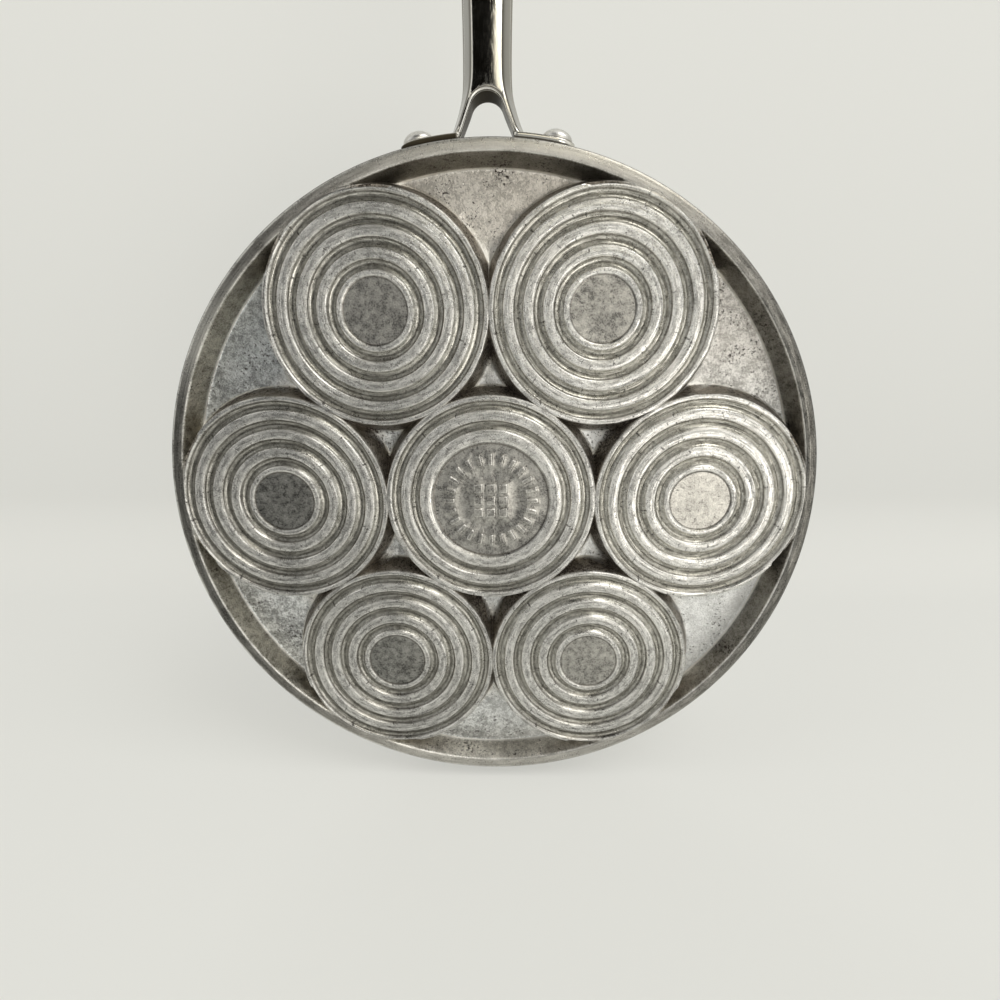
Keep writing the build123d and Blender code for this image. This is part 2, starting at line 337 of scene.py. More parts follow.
ACROSS_SIDE = PAD_SPACING * math.cos(SIXTH / 2)

side_line = np.linspace(UNDER_EDGE[0] - ACROSS_SIDE, -LEVEL_CORNER, 900)[:, None]
side_height = under_height((ACROSS_SIDE + side_line) * math.cos(SIXTH / 2),
                           (ACROSS_SIDE + side_line) * math.sin(SIXTH / 2))[0]
side_places = even_places(side_line, side_height, SIDE_STEPS, BEND, SPREAD)[:, 0]
inner_line = np.linspace(-LEVEL_CORNER, LEVEL_CORNER, 901)[:, None]
inner_height = under_height(np.full_like(inner_line, PAD_RADIUS), inner_line)[0]
inner_places = even_places(inner_line, inner_height, INNER_STEPS, INNER_BEND, SPREAD)[:, 0]
inner_places = (inner_places - inner_places[::-1]) / 2
print("places on a side", len(side_places), "and inside", len(inner_places))

# %% [markdown]
# ## Edge of a cell
# An outer cell is drawn once, with its pad to the right of the pan's middle: the arc near
# the rim, the line half way to the next pad, the line towards the centre pad, and the other
# side. It's then turned to its place. The centre cell is six inner lines.

# %% Cell edges
def beside(places, facing):
    """Local points on the line half way to a neighbour that lies in the facing direction."""
    cosine, sine = math.cos(facing), math.sin(facing)
    return np.stack([PAD_RADIUS * cosine - places * sine, PAD_RADIUS * sine + places * cosine], -1)


def cell_edge(turn, edge_radius, side, inner):
    """Points around a cell's edge, turning left, in the pan's own frame."""
    if turn is None:
        return np.concatenate([beside(inner[:-1], k * SIXTH) for k in range(6)])
    outside = np.stack([edge_radius * np.cos(arc) - PAD_SPACING, edge_radius * np.sin(arc)], -1)
    left = beside(-side[:-1], 2 * SIXTH)
    middle = beside(inner[:-1], math.pi)
    right = (beside(-side, 2 * SIXTH) * (1, -1))[:0:-1]
    return (np.concatenate([outside, left, middle, right]) + (PAD_SPACING, 0)) @ spin(turn)


def level_places(edge_radius):
    """Side and inner places for a flat face: equal angles about the pad, as distances by their tangents."""
    corner = math.atan((edge_radius[0] - ACROSS_SIDE) / PAD_RADIUS)
    side = PAD_RADIUS * np.tan(np.linspace(corner, -SIXTH / 2, 24))
    return side, PAD_RADIUS * np.tan(np.linspace(-SIXTH / 2, SIXTH / 2, 18))


print("rays", [len(cell_edge(turn, UNDER_EDGE, side_places, inner_places)) for turn in pad_turns[:2]])

# %% [markdown]
# ## Turned rings of a pad
# A lathe cut the rings with a round-nosed tool, so each groove is an arc of a circle. The
# arc's points are spread by angle, and a small bevel on each side carries a rubbed edge
# with a painted highlight. The profile is a list of rows: distance from the middle, height,
# and the masks that the finish reads later, which are groove, disc, edge and corner; the
# corner mask here marks painted shade lines.

# %% Profile of the rings
GROOVE_HALF, GROOVE_DEPTH = 2.1, 1.7
BEVEL, BEVEL_DROP = 0.22, 0.09
OUTER_PAD = dict(grooves=(16.89, 24.56, 32.23, 39.9), disc=13.1, recess=0.5, start=6.0)
CENTRE_PAD = dict(grooves=(31.7, 39.6), disc=25.2, recess=0.8, start=21.0)
RING_LIMIT, RING_RAYS = 42.55, 120


def pad_profile(grooves, disc, recess, start):
    """Rows of distance, height, groove, disc, edge and corner, from the disc's floor outwards."""
    tool = (GROOVE_HALF ** 2 + GROOVE_DEPTH ** 2) / (2 * GROOVE_DEPTH)
    swing = np.linspace(-1, 1, 7) * math.asin(GROOVE_HALF / tool)
    across, down = tool * np.sin(swing), tool * np.cos(swing) - (tool - GROOVE_DEPTH)
    # Painted shade: the corner mask on each groove's outer wall, which the finish paints as a dark line.
    shading = 0.9 * (np.arange(len(swing)) == len(swing) - 2)
    sweep = 0.55 + 0.045 * disc
    rows = [(start, recess, 0, 1, 0, 0), (disc - sweep, recess, 0, 1, 0, 0)]
    # Painted shade: the corner mask inside the disc's edge, painted as a dark line.
    rows += [(disc - sweep * (1 - s), recess * (1 - s ** 2.2), 0, 1 - s ** 3, 0,
              0.9 * math.exp(-((s - 0.4) / 0.2) ** 2)) for s in np.linspace(0, 1, 6)[1:-1]]
    rows += [(disc, 0.03, 0, 0, 1, 0)]
    for middle in grooves:
        edge_in, edge_out = middle - GROOVE_HALF - BEVEL, middle + GROOVE_HALF + BEVEL
        rows += [((rows[-1][0] + edge_in) / 2, 0, 0, 0, 0, 0), (edge_in, 0, 0, 0, 0.6, 0)]
        rows += [(middle + a, d + BEVEL_DROP * (1 - h), h, 0, (1 - h) ** 3, c)
                 for a, d, h, c in zip(across, down, down / GROOVE_DEPTH, shading)]
        rows += [(edge_out, 0, 0, 0, 0.6, 0)]
    return np.array(rows + [(RING_LIMIT, 0, 0, 0, 0, 0)])


print("rings on a pad", len(pad_profile(**OUTER_PAD)))

# %% [markdown]
# ## From profile to skin
# The rings are an even polar grid, which keeps them round. Past the last one the distance
# between neighbours changes with the angle, so each ray gets its own samples there, and a
# flat band joins the two. The band is filled by a triangulation that keeps given lines as
# edges, so no triangle crosses either ring.

# %% Slopes and bands
SLOPE_SAMPLES, BAND_WIDTH = 15, 0.4
SAME_PLACE, JUST_INSIDE = 1e-6, 0.9995


def slope_samples(middle, direction, reach):
    """Distances along each ray past the last ring, picked by length and bending."""
    start = RING_LIMIT + BAND_WIDTH
    distance = start + np.linspace(0, 1, 260)[:, None] * (reach - start)[None, :]
    height = under_height(middle[0] + distance * direction[:, 0], middle[1] + distance * direction[:, 1])[0]
    return even_places(distance, height, SLOPE_SAMPLES, BEND)


def polar(middle, points):
    """Direction and distance of points from a pad's middle."""
    across = points - middle
    reach = np.hypot(across[:, 0], across[:, 1])
    return across / reach[:, None], reach


def turned(direction, distance):
    """Masks that tell the finish where on its pad a point lies."""
    return dict(around_x=direction[:, 0], around_y=direction[:, 1], ring=distance)


def triangulate(flat, loops):
    """Places, triangles and sources of a plan whose closed loops of points stay as edges."""
    edges = np.concatenate([np.stack([ids, np.roll(ids, -1)], -1) for ids in loops])
    found = delaunay_2d_cdt([Vector(point) for point in flat], edges.tolist(), [], 0, SAME_PLACE)
    return np.array([tuple(point) for point in found[0]]), np.array(found[2]), found[3]


def ring_band(inner, outer):
    """Points and triangles of the band between two rings of unlike points."""
    both, middle = np.concatenate([inner, outer]), inner[:, :2].mean(axis=0)
    loops = [np.arange(len(inner)), len(inner) + np.arange(len(outer))]
    places, triangles, sources = triangulate(both[:, :2], loops)
    reach = np.hypot(*(places[triangles].mean(axis=1) - middle).T)
    outside = reach > np.hypot(*(inner[0, :2] - middle)) * JUST_INSIDE
    return np.column_stack([places, both[[each[0] for each in sources], 2]]), triangles[outside]


print("samples on a slope", SLOPE_SAMPLES + 1)

# %% [markdown]
# ## Seven cells
# Each pad is added as its rings, its slopes and the band between them. An outer pad's disc
# is closed by a fan. The centre pad's disc stays open for its ornament.

# %% Cells of the underside
ring_way = unit(np.arange(RING_RAYS) * 2 * math.pi / RING_RAYS)
for turn, middle in zip(pad_turns, pad_middles):
    rows = pad_profile(**(CENTRE_PAD if turn is None else OUTER_PAD))
    rings = np.repeat(rows[:, None], RING_RAYS, axis=1)
    points = np.concatenate([middle + rings[..., :1] * ring_way, rings[..., 1:2]], -1)
    casting.add(points, around=True, groove=rings[..., 2], disc=rings[..., 3], edge=rings[..., 4],
                corner=rings[..., 5], **turned(ring_way, rings[..., 0]))
    if turn is None:
        disc_ring = points[0]
    else:
        hub = (*middle, OUTER_PAD["recess"])
        hub_masks = turned(np.vstack([ring_way, (0, 0)]), np.append(rings[0, :, 0], 0))
        casting.close(points[0], hub, disc=1.0, **hub_masks)
    direction, reach = polar(middle, cell_edge(turn, UNDER_EDGE, side_places, inner_places))
    distance = slope_samples(middle, direction, reach)
    x, y = middle[0] + distance * direction[:, 0], middle[1] + distance * direction[:, 1]
    height, corner, edge = under_height(x, y)
    slopes = np.stack([x, y, height], -1)
    casting.add(slopes, best_diagonals(slopes), edge=edge, corner=corner, **height_masks(height),
                **turned(direction, distance))
    band_points, band = ring_band(points[-1], slopes[0])
    across = (band_points[:, :2] - middle) / (RING_LIMIT + BAND_WIDTH / 2)
    casting.add(band_points, band, around_x=across[:, 0], around_y=across[:, 1], ring=RING_LIMIT)
print("underside points", casting.count)

# %% [markdown]
# ## Flat floors with raised blocks
# The wells are full of small lugs that press the waffle's squares, and the centre pad
# carries a ring of bars round nine squares. Both are blocks with drafted sides on a flat
# floor. The triangulation of the floor keeps every block's outline as edges, and each block
# is lofted through a few loops up to its top.

# %% Blocks on a floor
def block_outline(half_x, half_y, corner):
    """Twelve points round a rectangle, three on each rounded corner."""
    arc = unit(np.radians([0, 45, 90])) * corner + (half_x - corner, half_y - corner)
    return np.concatenate([arc, (arc * (-1, 1))[::-1], -arc, (arc * (1, -1))[::-1]])


def add_blocks(skin, rim_points, floor_height, blocks, loops, **masks):
    """Floor inside a convex ring with blocks on it.

    A block is its middle, turn and half sizes. A loop is a rise, how far the outline grows,
    the radius of its corners and the mask of rubbed edges, which the finish paints bright as
    wear with a painted highlight.
    """
    rise, grow, corner, edge = (np.array(values, float) for values in zip(*loops))
    outlines = [np.array([block_outline(half_x + g, half_y + g, c) @ spin(turn) + middle
                          for g, c in zip(grow, corner)]) for middle, turn, half_x, half_y in blocks]
    count = len(rim_points)
    loop_ids = [np.arange(count)] + [count + 12 * k + np.arange(12) for k in range(len(outlines))]
    flat = np.concatenate([rim_points[:, :2]] + [outline[0] for outline in outlines])
    places, triangles, _ = triangulate(flat, loop_ids)
    middles = places[triangles].mean(axis=1)
    keep = np.ones(len(triangles), bool)
    for middle, turn, half_x, half_y in blocks:
        away = np.abs((middles - middle) @ spin(-turn))
        keep &= (away >= (half_x + grow[0], half_y + grow[0])).any(axis=1)
    skin.add(np.column_stack([places, np.full(len(places), floor_height)]), triangles[keep], **masks)
    for outline in outlines:
        heights = np.repeat((floor_height + rise)[:, None], 12, axis=1)
        points = np.concatenate([outline, heights[..., None]], -1)
        skin.add(points, around=True, edge=edge[:, None], **masks)
        skin.add(points[-1], [np.arange(12)], edge=edge[-1], **masks)


SQUARE_HALF, SQUARE_PITCH = 1.8, 5.2
BAR_HALF_LONG, BAR_HALF_WIDE, BAR_RING, BAR_COUNT = 2.3, 0.85, 17.5, 24
ornament = [((SQUARE_PITCH * i, SQUARE_PITCH * j), 0.0, SQUARE_HALF, SQUARE_HALF)
            for i in (-1, 0, 1) for j in (-1, 0, 1)]
ornament += [((BAR_RING * math.cos(turn), BAR_RING * math.sin(turn)), turn, BAR_HALF_LONG, BAR_HALF_WIDE)
             for turn in np.arange(BAR_COUNT) * 2 * math.pi / BAR_COUNT]
raised = CENTRE_PAD["recess"]
disc_loops = [(0, 0.3, 0.55, 0), (-0.12, 0.06, 0.4, 0), (-raised + 0.1, -0.08, 0.35, 1),
              (-raised, -0.22, 0.3, 0.8), (-raised, -0.5, 0.25, 0)]
add_blocks(casting, disc_ring, raised, ornament, disc_loops, disc=1.0)
print("blocks on the centre disc", len(ornament))

# %% [markdown]
# ## Cooking side
# Each well is a shallow cup in the plate. Its rings go from the floor's edge through a
# fillet, up the drafted wall and over a rounded lip to the flat plate, which ends at the
# same cells as the underside. The floor carries thirty-seven lugs on a square pitch.

# %% Wells and lugs
WELL_FLOOR, WELL_START, WELL_END = 4.6, 36.0, 42.6
WELL_FLOOR_RADIUS = PAD_RADIUS + WELL_FLOOR * PAD_SLOPE - 7.0
WELL_TOP_RADIUS = WELL_FLOOR_RADIUS + (PLATE_TOP - WELL_FLOOR) * math.tan(math.radians(14.0))
LUG_PITCH, LUG_HALF, LUG_HEIGHT = 9.4, 3.3, 5.4
LUG_TAPER = LUG_HEIGHT * math.tan(math.radians(11.0))

well_line = rounded_line([(WELL_START, WELL_FLOOR), (WELL_FLOOR_RADIUS, WELL_FLOOR),
                          (WELL_TOP_RADIUS, PLATE_TOP), (WELL_END, PLATE_TOP)], [1.2, 1.0])
level = np.append(well_line[:, 1], np.full(3, PLATE_TOP))
pitches = np.array([(i, j) for i in range(-3, 4) for j in range(-3, 4)
                    if max(abs(i), abs(j)) < 3 or min(abs(i), abs(j)) < 2])
lug_loops = [(0, 0.9, 1.3, 0), (0.25, 0.25, 0.9, 0), (0.9, -0.16, 0.8, 0),
             (LUG_HEIGHT - 0.5, -LUG_TAPER + 0.12, 0.7, 0.3),
             (LUG_HEIGHT - 0.1, -LUG_TAPER - 0.1, 0.6, 1), (LUG_HEIGHT, -LUG_TAPER - 0.5, 0.5, 0.4)]
for turn, middle in zip(pad_turns, pad_middles):
    direction, reach = polar(middle, cell_edge(turn, COOK_EDGE, *level_places(COOK_EDGE)))
    plate = well_line[-1, 0] + np.linspace(0, 1, 4)[1:, None] * (reach - well_line[-1, 0])
    distance = np.concatenate([np.repeat(well_line[:, :1], len(reach), axis=1), plate])
    height = np.repeat(level[:, None], len(reach), axis=1)
    points = np.concatenate([middle + distance[..., None] * direction, height[..., None]], -1)
    faces = grid_faces(*height.shape, around=True)[:, ::-1]
    casting.add(points, faces, cook=1.0, **turned(direction, distance))
    lugs = [(middle + LUG_PITCH * pitch, 0.0, LUG_HALF, LUG_HALF) for pitch in pitches]
    add_blocks(casting, points[0], WELL_FLOOR, lugs, lug_loops, cook=1.0)
print("lugs in a well", len(pitches))

# %% [markdown]
# ## Between the cells and the foot
# Rings round the pan fill the skirt, from the cells' outer arcs to the foot ring. Where a
# cell ends well inside the skirt, some of them are held on the foot ring's own edges, so
# that those stay sharp circles.

# %% Skirt and foot strip
FOOT_LAST = 132.4
HOLD_BELOW, HOLD_FADE, EDGE_START = 128.6, 0.8, 127.0
angles = (np.arange(6)[:, None] * SIXTH + arc).ravel()
cosines, sines = np.cos(angles), np.sin(angles)
strip_in = np.tile(UNDER_EDGE, 6)
foot_rings = np.array([FOOT_INNER - 0.1, FOOT_INNER + 0.12, FOOT_INNER + 0.4, 131.1, FOOT_LAST])


def strip_places(end, steps):
    """Radii from the cells' edges to an end, spread by the height's length and bending."""
    fine = strip_in + np.linspace(0, 1, 200)[:, None] * (np.maximum(end, strip_in + 0.1) - strip_in)
    return even_places(fine, under_height(fine * cosines, fine * sines)[0], steps, BEND)


foot_rings = np.repeat(foot_rings[:, None], len(angles), axis=1)
held = np.concatenate([strip_places(FOOT_INNER - 0.35, 10), foot_rings])
strip = strip_places(FOOT_LAST, 15)
strip = strip + np.clip((HOLD_BELOW - strip_in) / HOLD_FADE, 0, 1) * (held - strip)
strip_height, strip_corner, strip_edge = under_height(strip * cosines, strip * sines)
strip_points = np.stack([strip * cosines, strip * sines, strip_height], -1)
casting.add(strip_points, best_diagonals(strip_points), corner=strip_corner,
            edge=strip_edge * (strip > EDGE_START), ring=strip, **height_masks(strip_height))
print("rings of the skirt", len(strip))

# %% [markdown]
# ## The rim
# The rim is a profile turned round the pan: the crowned foot, a drafted outer wall, the
# rounded lip and the inner wall down to the plate. Its first ring is the skirt's last and
# its last one is the cells' outer arc, at the same angles, so the casting closes without a
# seam.

# %% Rim
rim_line = rounded_line(
    [(FOOT_LAST, FOOT_CROWN * 0.227), (FOOT_OUTER - 0.1, 0.34), (RIM_TOP, RIM_HEIGHT),
     (RIM_TOP - LIP_WIDTH, RIM_HEIGHT), (RIM_TOP - LIP_WIDTH - LIP_LEAN, PLATE_TOP), (COOK_REACH, PLATE_TOP)],
    [0.55, 1.4, 1.4, 0.9], 6)
rim_line[0, 1] = strip_height[-1].mean()
wide, high = rim_line[:, :1], rim_line[:, 1:]
rim_points = np.stack([wide * cosines, wide * sines, high + 0 * cosines], -1)
rim_edge = np.clip(1 - np.abs(high - RIM_HEIGHT) / 0.35, 0, 1) * 0.5
inner_side = np.arange(len(high))[:, None] > len(high) * 0.5
casting.add(rim_points, around=True, edge=rim_edge, cook=inner_side, ring=wide)
print("rim profile points", len(rim_points), "widest", round(rim_line[:, 0].max(), 2))

# %% [markdown]
# ## Building materials from nodes
# A finish is a network of nodes. The helpers make a node in the tree that is being built,
# fill its inputs and link it, so that each material below reads like a recipe. A field is a
# value that changes over the surface, and each sum or product of fields puts a Math node.

# %% Node helpers
def start_tree(started):
    """Empties the tree of a material, a world or a group; the helpers then work in it."""
    global tree
    if not isinstance(started, bpy.types.NodeTree):
        started.use_nodes = True
        started = started.node_tree
    tree = started
    tree.nodes.clear()


def feed(socket, value):
    """Links a field to a socket, or sets a plain value on it; a colour gets an alpha of one."""
    if isinstance(value, Field):
        tree.links.new(value.socket, socket)
    else:
        socket.default_value = (*value, 1) if socket.type == "RGBA" else value


def node(kind, inputs=None, **settings):
    """A node of that kind with its settings, and its inputs fed."""
    made = tree.nodes.new(kind)
    for name, value in settings.items():
        setattr(made, name, value)
    for name, value in (inputs or {}).items():
        feed(made.inputs[name], value)
    return made


def put(kind, inputs=None, out=0, **settings):
    """One output of a new node as a field."""
    return Field(node(kind, inputs, **settings).outputs[out])


def step(operation, *values):
    """One step of arithmetic on numbers or fields."""
    return put("ShaderNodeMath", dict(enumerate(values)), operation=operation)


class Field:
    """A value that changes over the surface; its arithmetic puts a Math node for each step."""

    def __init__(self, socket):
        self.socket = socket

    def __add__(self, other):
        return step("ADD", self, other)

    def __sub__(self, other):
        return step("SUBTRACT", self, other)

    def __rsub__(self, other):
        return step("SUBTRACT", other, self)

    def __mul__(self, other):
        return step("MULTIPLY", self, other)

    def __pow__(self, other):
        return step("POWER", self, other)

    __radd__, __rmul__ = __add__, __mul__


print("helpers for nodes and a field of values")

# %% [markdown]
# ## Words of a recipe
# Most finishes need the same few words: a value carried from one range to another, the
# highest of several, soft random values, a colour between two, and coats of colour laid
# over one another. Each is a node or two.

# %% Ranges, noise and coats of colour
def span(value, low, high, start=0.0, end=1.0):
    """The value carried from one range to another and kept inside it."""
    return put("ShaderNodeMapRange", {0: value, 1: low, 2: high, 3: start, 4: end})


def highest(first, *others):
    """The highest of several values."""
    for other in others:
        first = step("MAXIMUM", first, other)
    return first


def vector(operation, *values, out=0):
    """One step of arithmetic on directions or places."""
    return put("ShaderNodeVectorMath", dict(enumerate(values)), out, operation=operation)


def combine(x, y, z):
    """A place made of three values."""
    return put("ShaderNodeCombineXYZ", {0: x, 1: y, 2: z})


def noise(place, scale, detail, rough):
    """Soft random values round one half."""
    settings = {"Vector": place, "Scale": scale, "Detail": detail, "Roughness": rough}
    return put("ShaderNodeTexNoise", settings)


def blend(share, one, other):
    """Colour that goes from one to the other as the share goes from nought to one."""
    return put("ShaderNodeMix", {0: share, 6: one, 7: other}, 2, data_type="RGBA")


def layered(colour, *coats):
    """A colour under coats, each a share and the colour that it brings."""
    for share, coat in coats:
        colour = blend(share, colour, coat)
    return colour


def bump(height, distance):
    """Small relief of the surface from a height field, as deep as the distance in metres."""
    return put("ShaderNodeBump", {"Height": height, "Distance": distance, "Strength": 1.0})


print("words of a recipe: span, highest, noise, blend, layered and bump")

# %% [markdown]
# ## Groups and materials
# An effect that several materials share is a node group with named inputs, built once and
# placed with each material's own values. A material starts with its shader and the object's
# own coordinates, which stay with the metal from every side.

# %% Starting a group or a material
def start_group(name, outputs, **inputs):
    """An empty group and its inputs as fields: a triple starts a vector, a number a number."""
    made = bpy.data.node_groups.new(name, "ShaderNodeTree")
    start_tree(made)
    for socket, start in inputs.items():
        kind = "NodeSocketVector" if isinstance(start, tuple) else "NodeSocketFloat"
        made.interface.new_socket(socket, in_out="INPUT", socket_type=kind).default_value = start
    for socket in outputs:
        made.interface.new_socket(socket, in_out="OUTPUT", socket_type="NodeSocketFloat")
    given = node("NodeGroupInput").outputs
    return made, {socket: Field(given[socket]) for socket in inputs}


def use(group, **inputs):
    """The outputs of a group that is placed in a material with its own values."""
    placed = node("ShaderNodeGroup", inputs, node_tree=group)
    return {output.name: Field(output) for output in placed.outputs}


def start_material(name):
    """A material with its shader and its object coordinates."""
    material = bpy.data.materials.new(name)
    start_tree(material)
    shader = node("ShaderNodeBsdfPrincipled")
    node("ShaderNodeOutputMaterial", {0: Field(shader.outputs[0])})
    return material, shader, put("ShaderNodeTexCoord", out="Object")


def dress(shader, inputs):
    """Feeds the shader's named inputs."""
    for name, value in inputs.items():
        feed(shader.inputs[name], value)


def mask(name):
    """A mask of the mesh by name."""
    return put("ShaderNodeAttribute", out="Fac", attribute_name=name)


def parts_of(place):
    """The three values of a place."""
    return [Field(output) for output in node("ShaderNodeSeparateXYZ", {0: place}).outputs]


print("a material reads", len(MASKS), "masks of the casting")

# %% [markdown]
# ## Shared effects
# Cast metal has a fine sandy grain over a slow unevenness. Years on a hob add burnt-on
# specks that gather where a cloth doesn't reach. Handling leaves fine scratches, which are
# noise stretched in one direction. Each of them is a group.

# %% Grain, specks and scratches
TO_MM = (1000, 1000, 1000)

cast_grain, given = start_group("cast_grain", ("Height", "Mottle", "Fine"), Vector=(0, 0, 0), Size=0.8)
place = vector("MULTIPLY", given["Vector"], TO_MM)
fine, slow = noise(place, 1.6, 3.0, 0.6), noise(place, 0.12, 3.0, 0.6)
pits = span(put("ShaderNodeTexVoronoi", {"Vector": place, "Scale": 0.75}), 0.0, 0.35)
node("NodeGroupOutput", {"Height": (fine + 0.35 * pits) * given["Size"] + 0.8 * slow,
                         "Mottle": 0.65 * slow + 0.35 * fine, "Fine": fine})

burnt_specks, given = start_group("burnt_specks", ("Mask",), Vector=(0, 0, 0), Amount=0.3)
place = vector("MULTIPLY", given["Vector"], TO_MM)
level = 0.98 - 0.55 * given["Amount"] - 0.35 * noise(place, 0.08, 2.0, 0.5)
node("NodeGroupOutput", {"Mask": span(noise(place, 0.9, 5.0, 0.7) - level, 0.0, 0.06)})

fine_scratches, given = start_group(
    "fine_scratches", ("Mask",), Vector=(0, 0, 0), Along=(1, 1, 1), Amount=0.5)
lines = noise(vector("MULTIPLY", given["Vector"], given["Along"]), 1.0, 3.0, 0.6)
node("NodeGroupOutput", {"Mask": span(lines, 0.52, 0.72) * given["Amount"]})
print("shared effects", [group.name for group in bpy.data.node_groups])

# %% [markdown]
# ## Aged cast aluminium
# Bare aluminium that has stood on a gas hob is grey, not silver. The lands are rubbed
# bright where they touch the hob, the grooves between them have painted shade at their
# bottoms, the discs are mottled, and the walls are brown with burnt fat. The masks in the
# mesh say which is which, so one material paints the whole casting and the borders stay
# sharp. First come the patterns: where painted shade darkens one side, where it is
# scratched, nicked or specked, and how it is mottled.
# A material's distances are in metres.

# %% Patterns on the casting
aluminium, shader, place = start_material("aged_cast_aluminium")
groove, disc, edge, corner, wall, floor, cook, around_x, around_y, ring = map(mask, MASKS)
around = combine(around_x, around_y, ring)
x, y, z = parts_of(place)
flat = combine(x, y, 0.0)
far = vector("LENGTH", flat, out="Value")
SKIRT_LEAN = 0.268
rim = span(far, 0.1291, 0.1294)
skirt = span(far + SKIRT_LEAN * z, 0.1284, 0.1290)

grain = use(cast_grain, Vector=place, Size=1.0)
mottle, crisp = grain["Mottle"], span(grain["Fine"], 0.36, 0.64)
# Painted shade: lands, discs and grooves darken towards positive x and negative y.
painted_side_shade = span(0.9 * x - 0.5 * y + 0.10 * mottle, -0.03, 0.13)
rubbed = span(noise(vector("MULTIPLY", around, (7.0, 7.0, 0.9)), 1.0, 5.0, 0.7), 0.43, 0.57)
both_scales = 0.6 * rubbed + 0.4 * crisp
blotch = span(noise(place, 420.0, 3.0, 0.6), 0.40, 0.60)
patchy = 0.35 * span(mottle, 0.40, 0.60) + (0.35 * blotch + 0.3 * crisp)
round_rim = vector("MULTIPLY", vector("NORMALIZE", flat), (14.0, 14.0, 0.0))
streaks = noise(vector("ADD", round_rim, combine(0.0, 0.0, 900.0 * far + 500.0 * z)), 1.0, 4.0, 0.65)
streaky = 0.65 * span(streaks, 0.38, 0.62) + 0.35 * crisp

dirty = 0.3 * highest(wall - 0.45 * skirt, 0.0) - 0.13 * floor
specks = use(burnt_specks, Vector=place, Amount=dirty + 0.22)["Mask"]
machined = span(highest(wall, cook, disc), 0.0, 1.0, 1.0, 0.0)
turning = use(fine_scratches, Vector=around, Along=(1.6, 1.6, 4.0), Amount=machined)["Mask"]
nicks = use(fine_scratches, Vector=around, Along=(26.0, 26.0, 0.45), Amount=1.0)["Mask"]
nicks = span(nicks, 0.55, 0.9) * (1 - wall)
print("nodes for the patterns", len(tree.nodes))

# %% [markdown]
# ## Tones of each part
# Every part of the casting has its own pair of tones, mixed by a pattern. Light and shade
# are painted unevenly across the pan, darker on one side and lighter on the other, so some
# coats come in across the pan, by the distance to the right or up from its middle.

# %% Lands, discs, grooves, walls and floors
land = layered(blend(both_scales, (0.32, 0.31, 0.29), (0.90, 0.89, 0.85)),
               (painted_side_shade, blend(both_scales, (0.15, 0.147, 0.138), (0.66, 0.65, 0.62))))
face = layered(blend(patchy, (0.14, 0.135, 0.125), (0.62, 0.60, 0.55)),
               (painted_side_shade ** 2.2, blend(patchy, (0.028, 0.028, 0.025), (0.36, 0.355, 0.33))))
# Painted shade: groove bottoms darker, and darker again towards positive x and negative y.
hollow = layered(blend(both_scales, (0.36, 0.35, 0.31), (0.90, 0.88, 0.81)),
                 (span(groove, 0.86, 0.99), blend(both_scales, (0.10, 0.095, 0.08), (0.34, 0.33, 0.29))))
hollow = blend(painted_side_shade, hollow, blend(0.35, hollow, (0.05, 0.047, 0.04)))

# Painted light and shade on the skirt: lit_skirt and dim_skirt are lit and shaded copies, dim towards
# positive x except at the bottom; painted shade darkens the top and the negative-x side above the bottom.
lit_skirt = blend(patchy, (0.36, 0.34, 0.30), (0.97, 0.94, 0.86))
dim_skirt = layered(blend(patchy, (0.16, 0.15, 0.12), (0.66, 0.63, 0.54)),
                    (span(y, -0.08, -0.11, 0.0, 0.9), lit_skirt))
skirt_tone = layered(
    lit_skirt, (span(x, -0.10, 0.02), dim_skirt), (span(y, 0.07, 0.115, 0.0, 0.75), (0.10, 0.09, 0.07)),
    (span(x, -0.04, -0.08) * span(y, -0.11, -0.07, 0.0, 0.72),
     blend(patchy, (0.03, 0.028, 0.024), (0.27, 0.25, 0.21))))
side = layered(blend(patchy, (0.09, 0.075, 0.058), (0.42, 0.38, 0.32)), (skirt, skirt_tone))

tinged = blend(span(x, -0.06, 0.06), (0.62, 0.56, 0.49), (0.23, 0.265, 0.285))
# Painted light: floors near the middle or towards negative y, on the negative-x side, painted near white.
floor_painted_light = highest(span(far, 0.085, 0.07), span(y, -0.02, -0.05, 0.0, 0.8)) * span(x, 0.02, -0.03, 0.0, 0.6)
bottom = layered(
    blend(patchy, (0.25, 0.26, 0.26), (0.96, 0.97, 0.96)), (span(y, 0.02, 0.06, 0.0, 0.45), tinged),
    (span(y, 0.085, 0.105, 0.0, 0.5), (0.95, 0.87, 0.76)),
    (span(patchy, 0.30, 0.62, 0.35, 0.0), (0.17, 0.16, 0.145)), (floor_painted_light, (0.97, 0.97, 0.95)))
inside = blend(patchy, (0.16, 0.15, 0.14), (0.32, 0.31, 0.29))
print("nodes with the tones", len(tree.nodes))

# %% [markdown]
# ## The foot ring
# The ring that stands on the hob is streaked along its length. It has a painted highlight
# near the handle, painted shade on both sides, a painted lit arc on one side and a lighter
# bottom, with a fine painted highlight line where it turns up and a painted dark line outside that.

# %% Tones of the foot ring
# Painted shade: the foot ring is darkened towards positive x and towards negative x.
plus_x_shade = layered(blend(streaky, (0.06, 0.057, 0.05), (0.25, 0.245, 0.225)),
                (span(x, -0.11, 0.07, 0.0, 0.35), (0.012, 0.012, 0.011)))
minus_x_shade = blend(streaky, (0.035, 0.034, 0.03), (0.24, 0.232, 0.21))
# Painted light: a lit arc on the foot ring towards positive x.
lit_arc = span(step("ABSOLUTE", y - 0.066), 0.005, 0.024, 0.7, 0.0) * span(x, 0.07, 0.10)
# Painted highlight: a fine bright line where the foot ring turns up, weaker towards negative x.
bright_line = span(far, 0.13225, 0.1328) * span(mottle, 0.42, 0.55, 0.2, 0.8)
bright_line *= span(x, -0.09, 0.02, 0.15, 1.0)
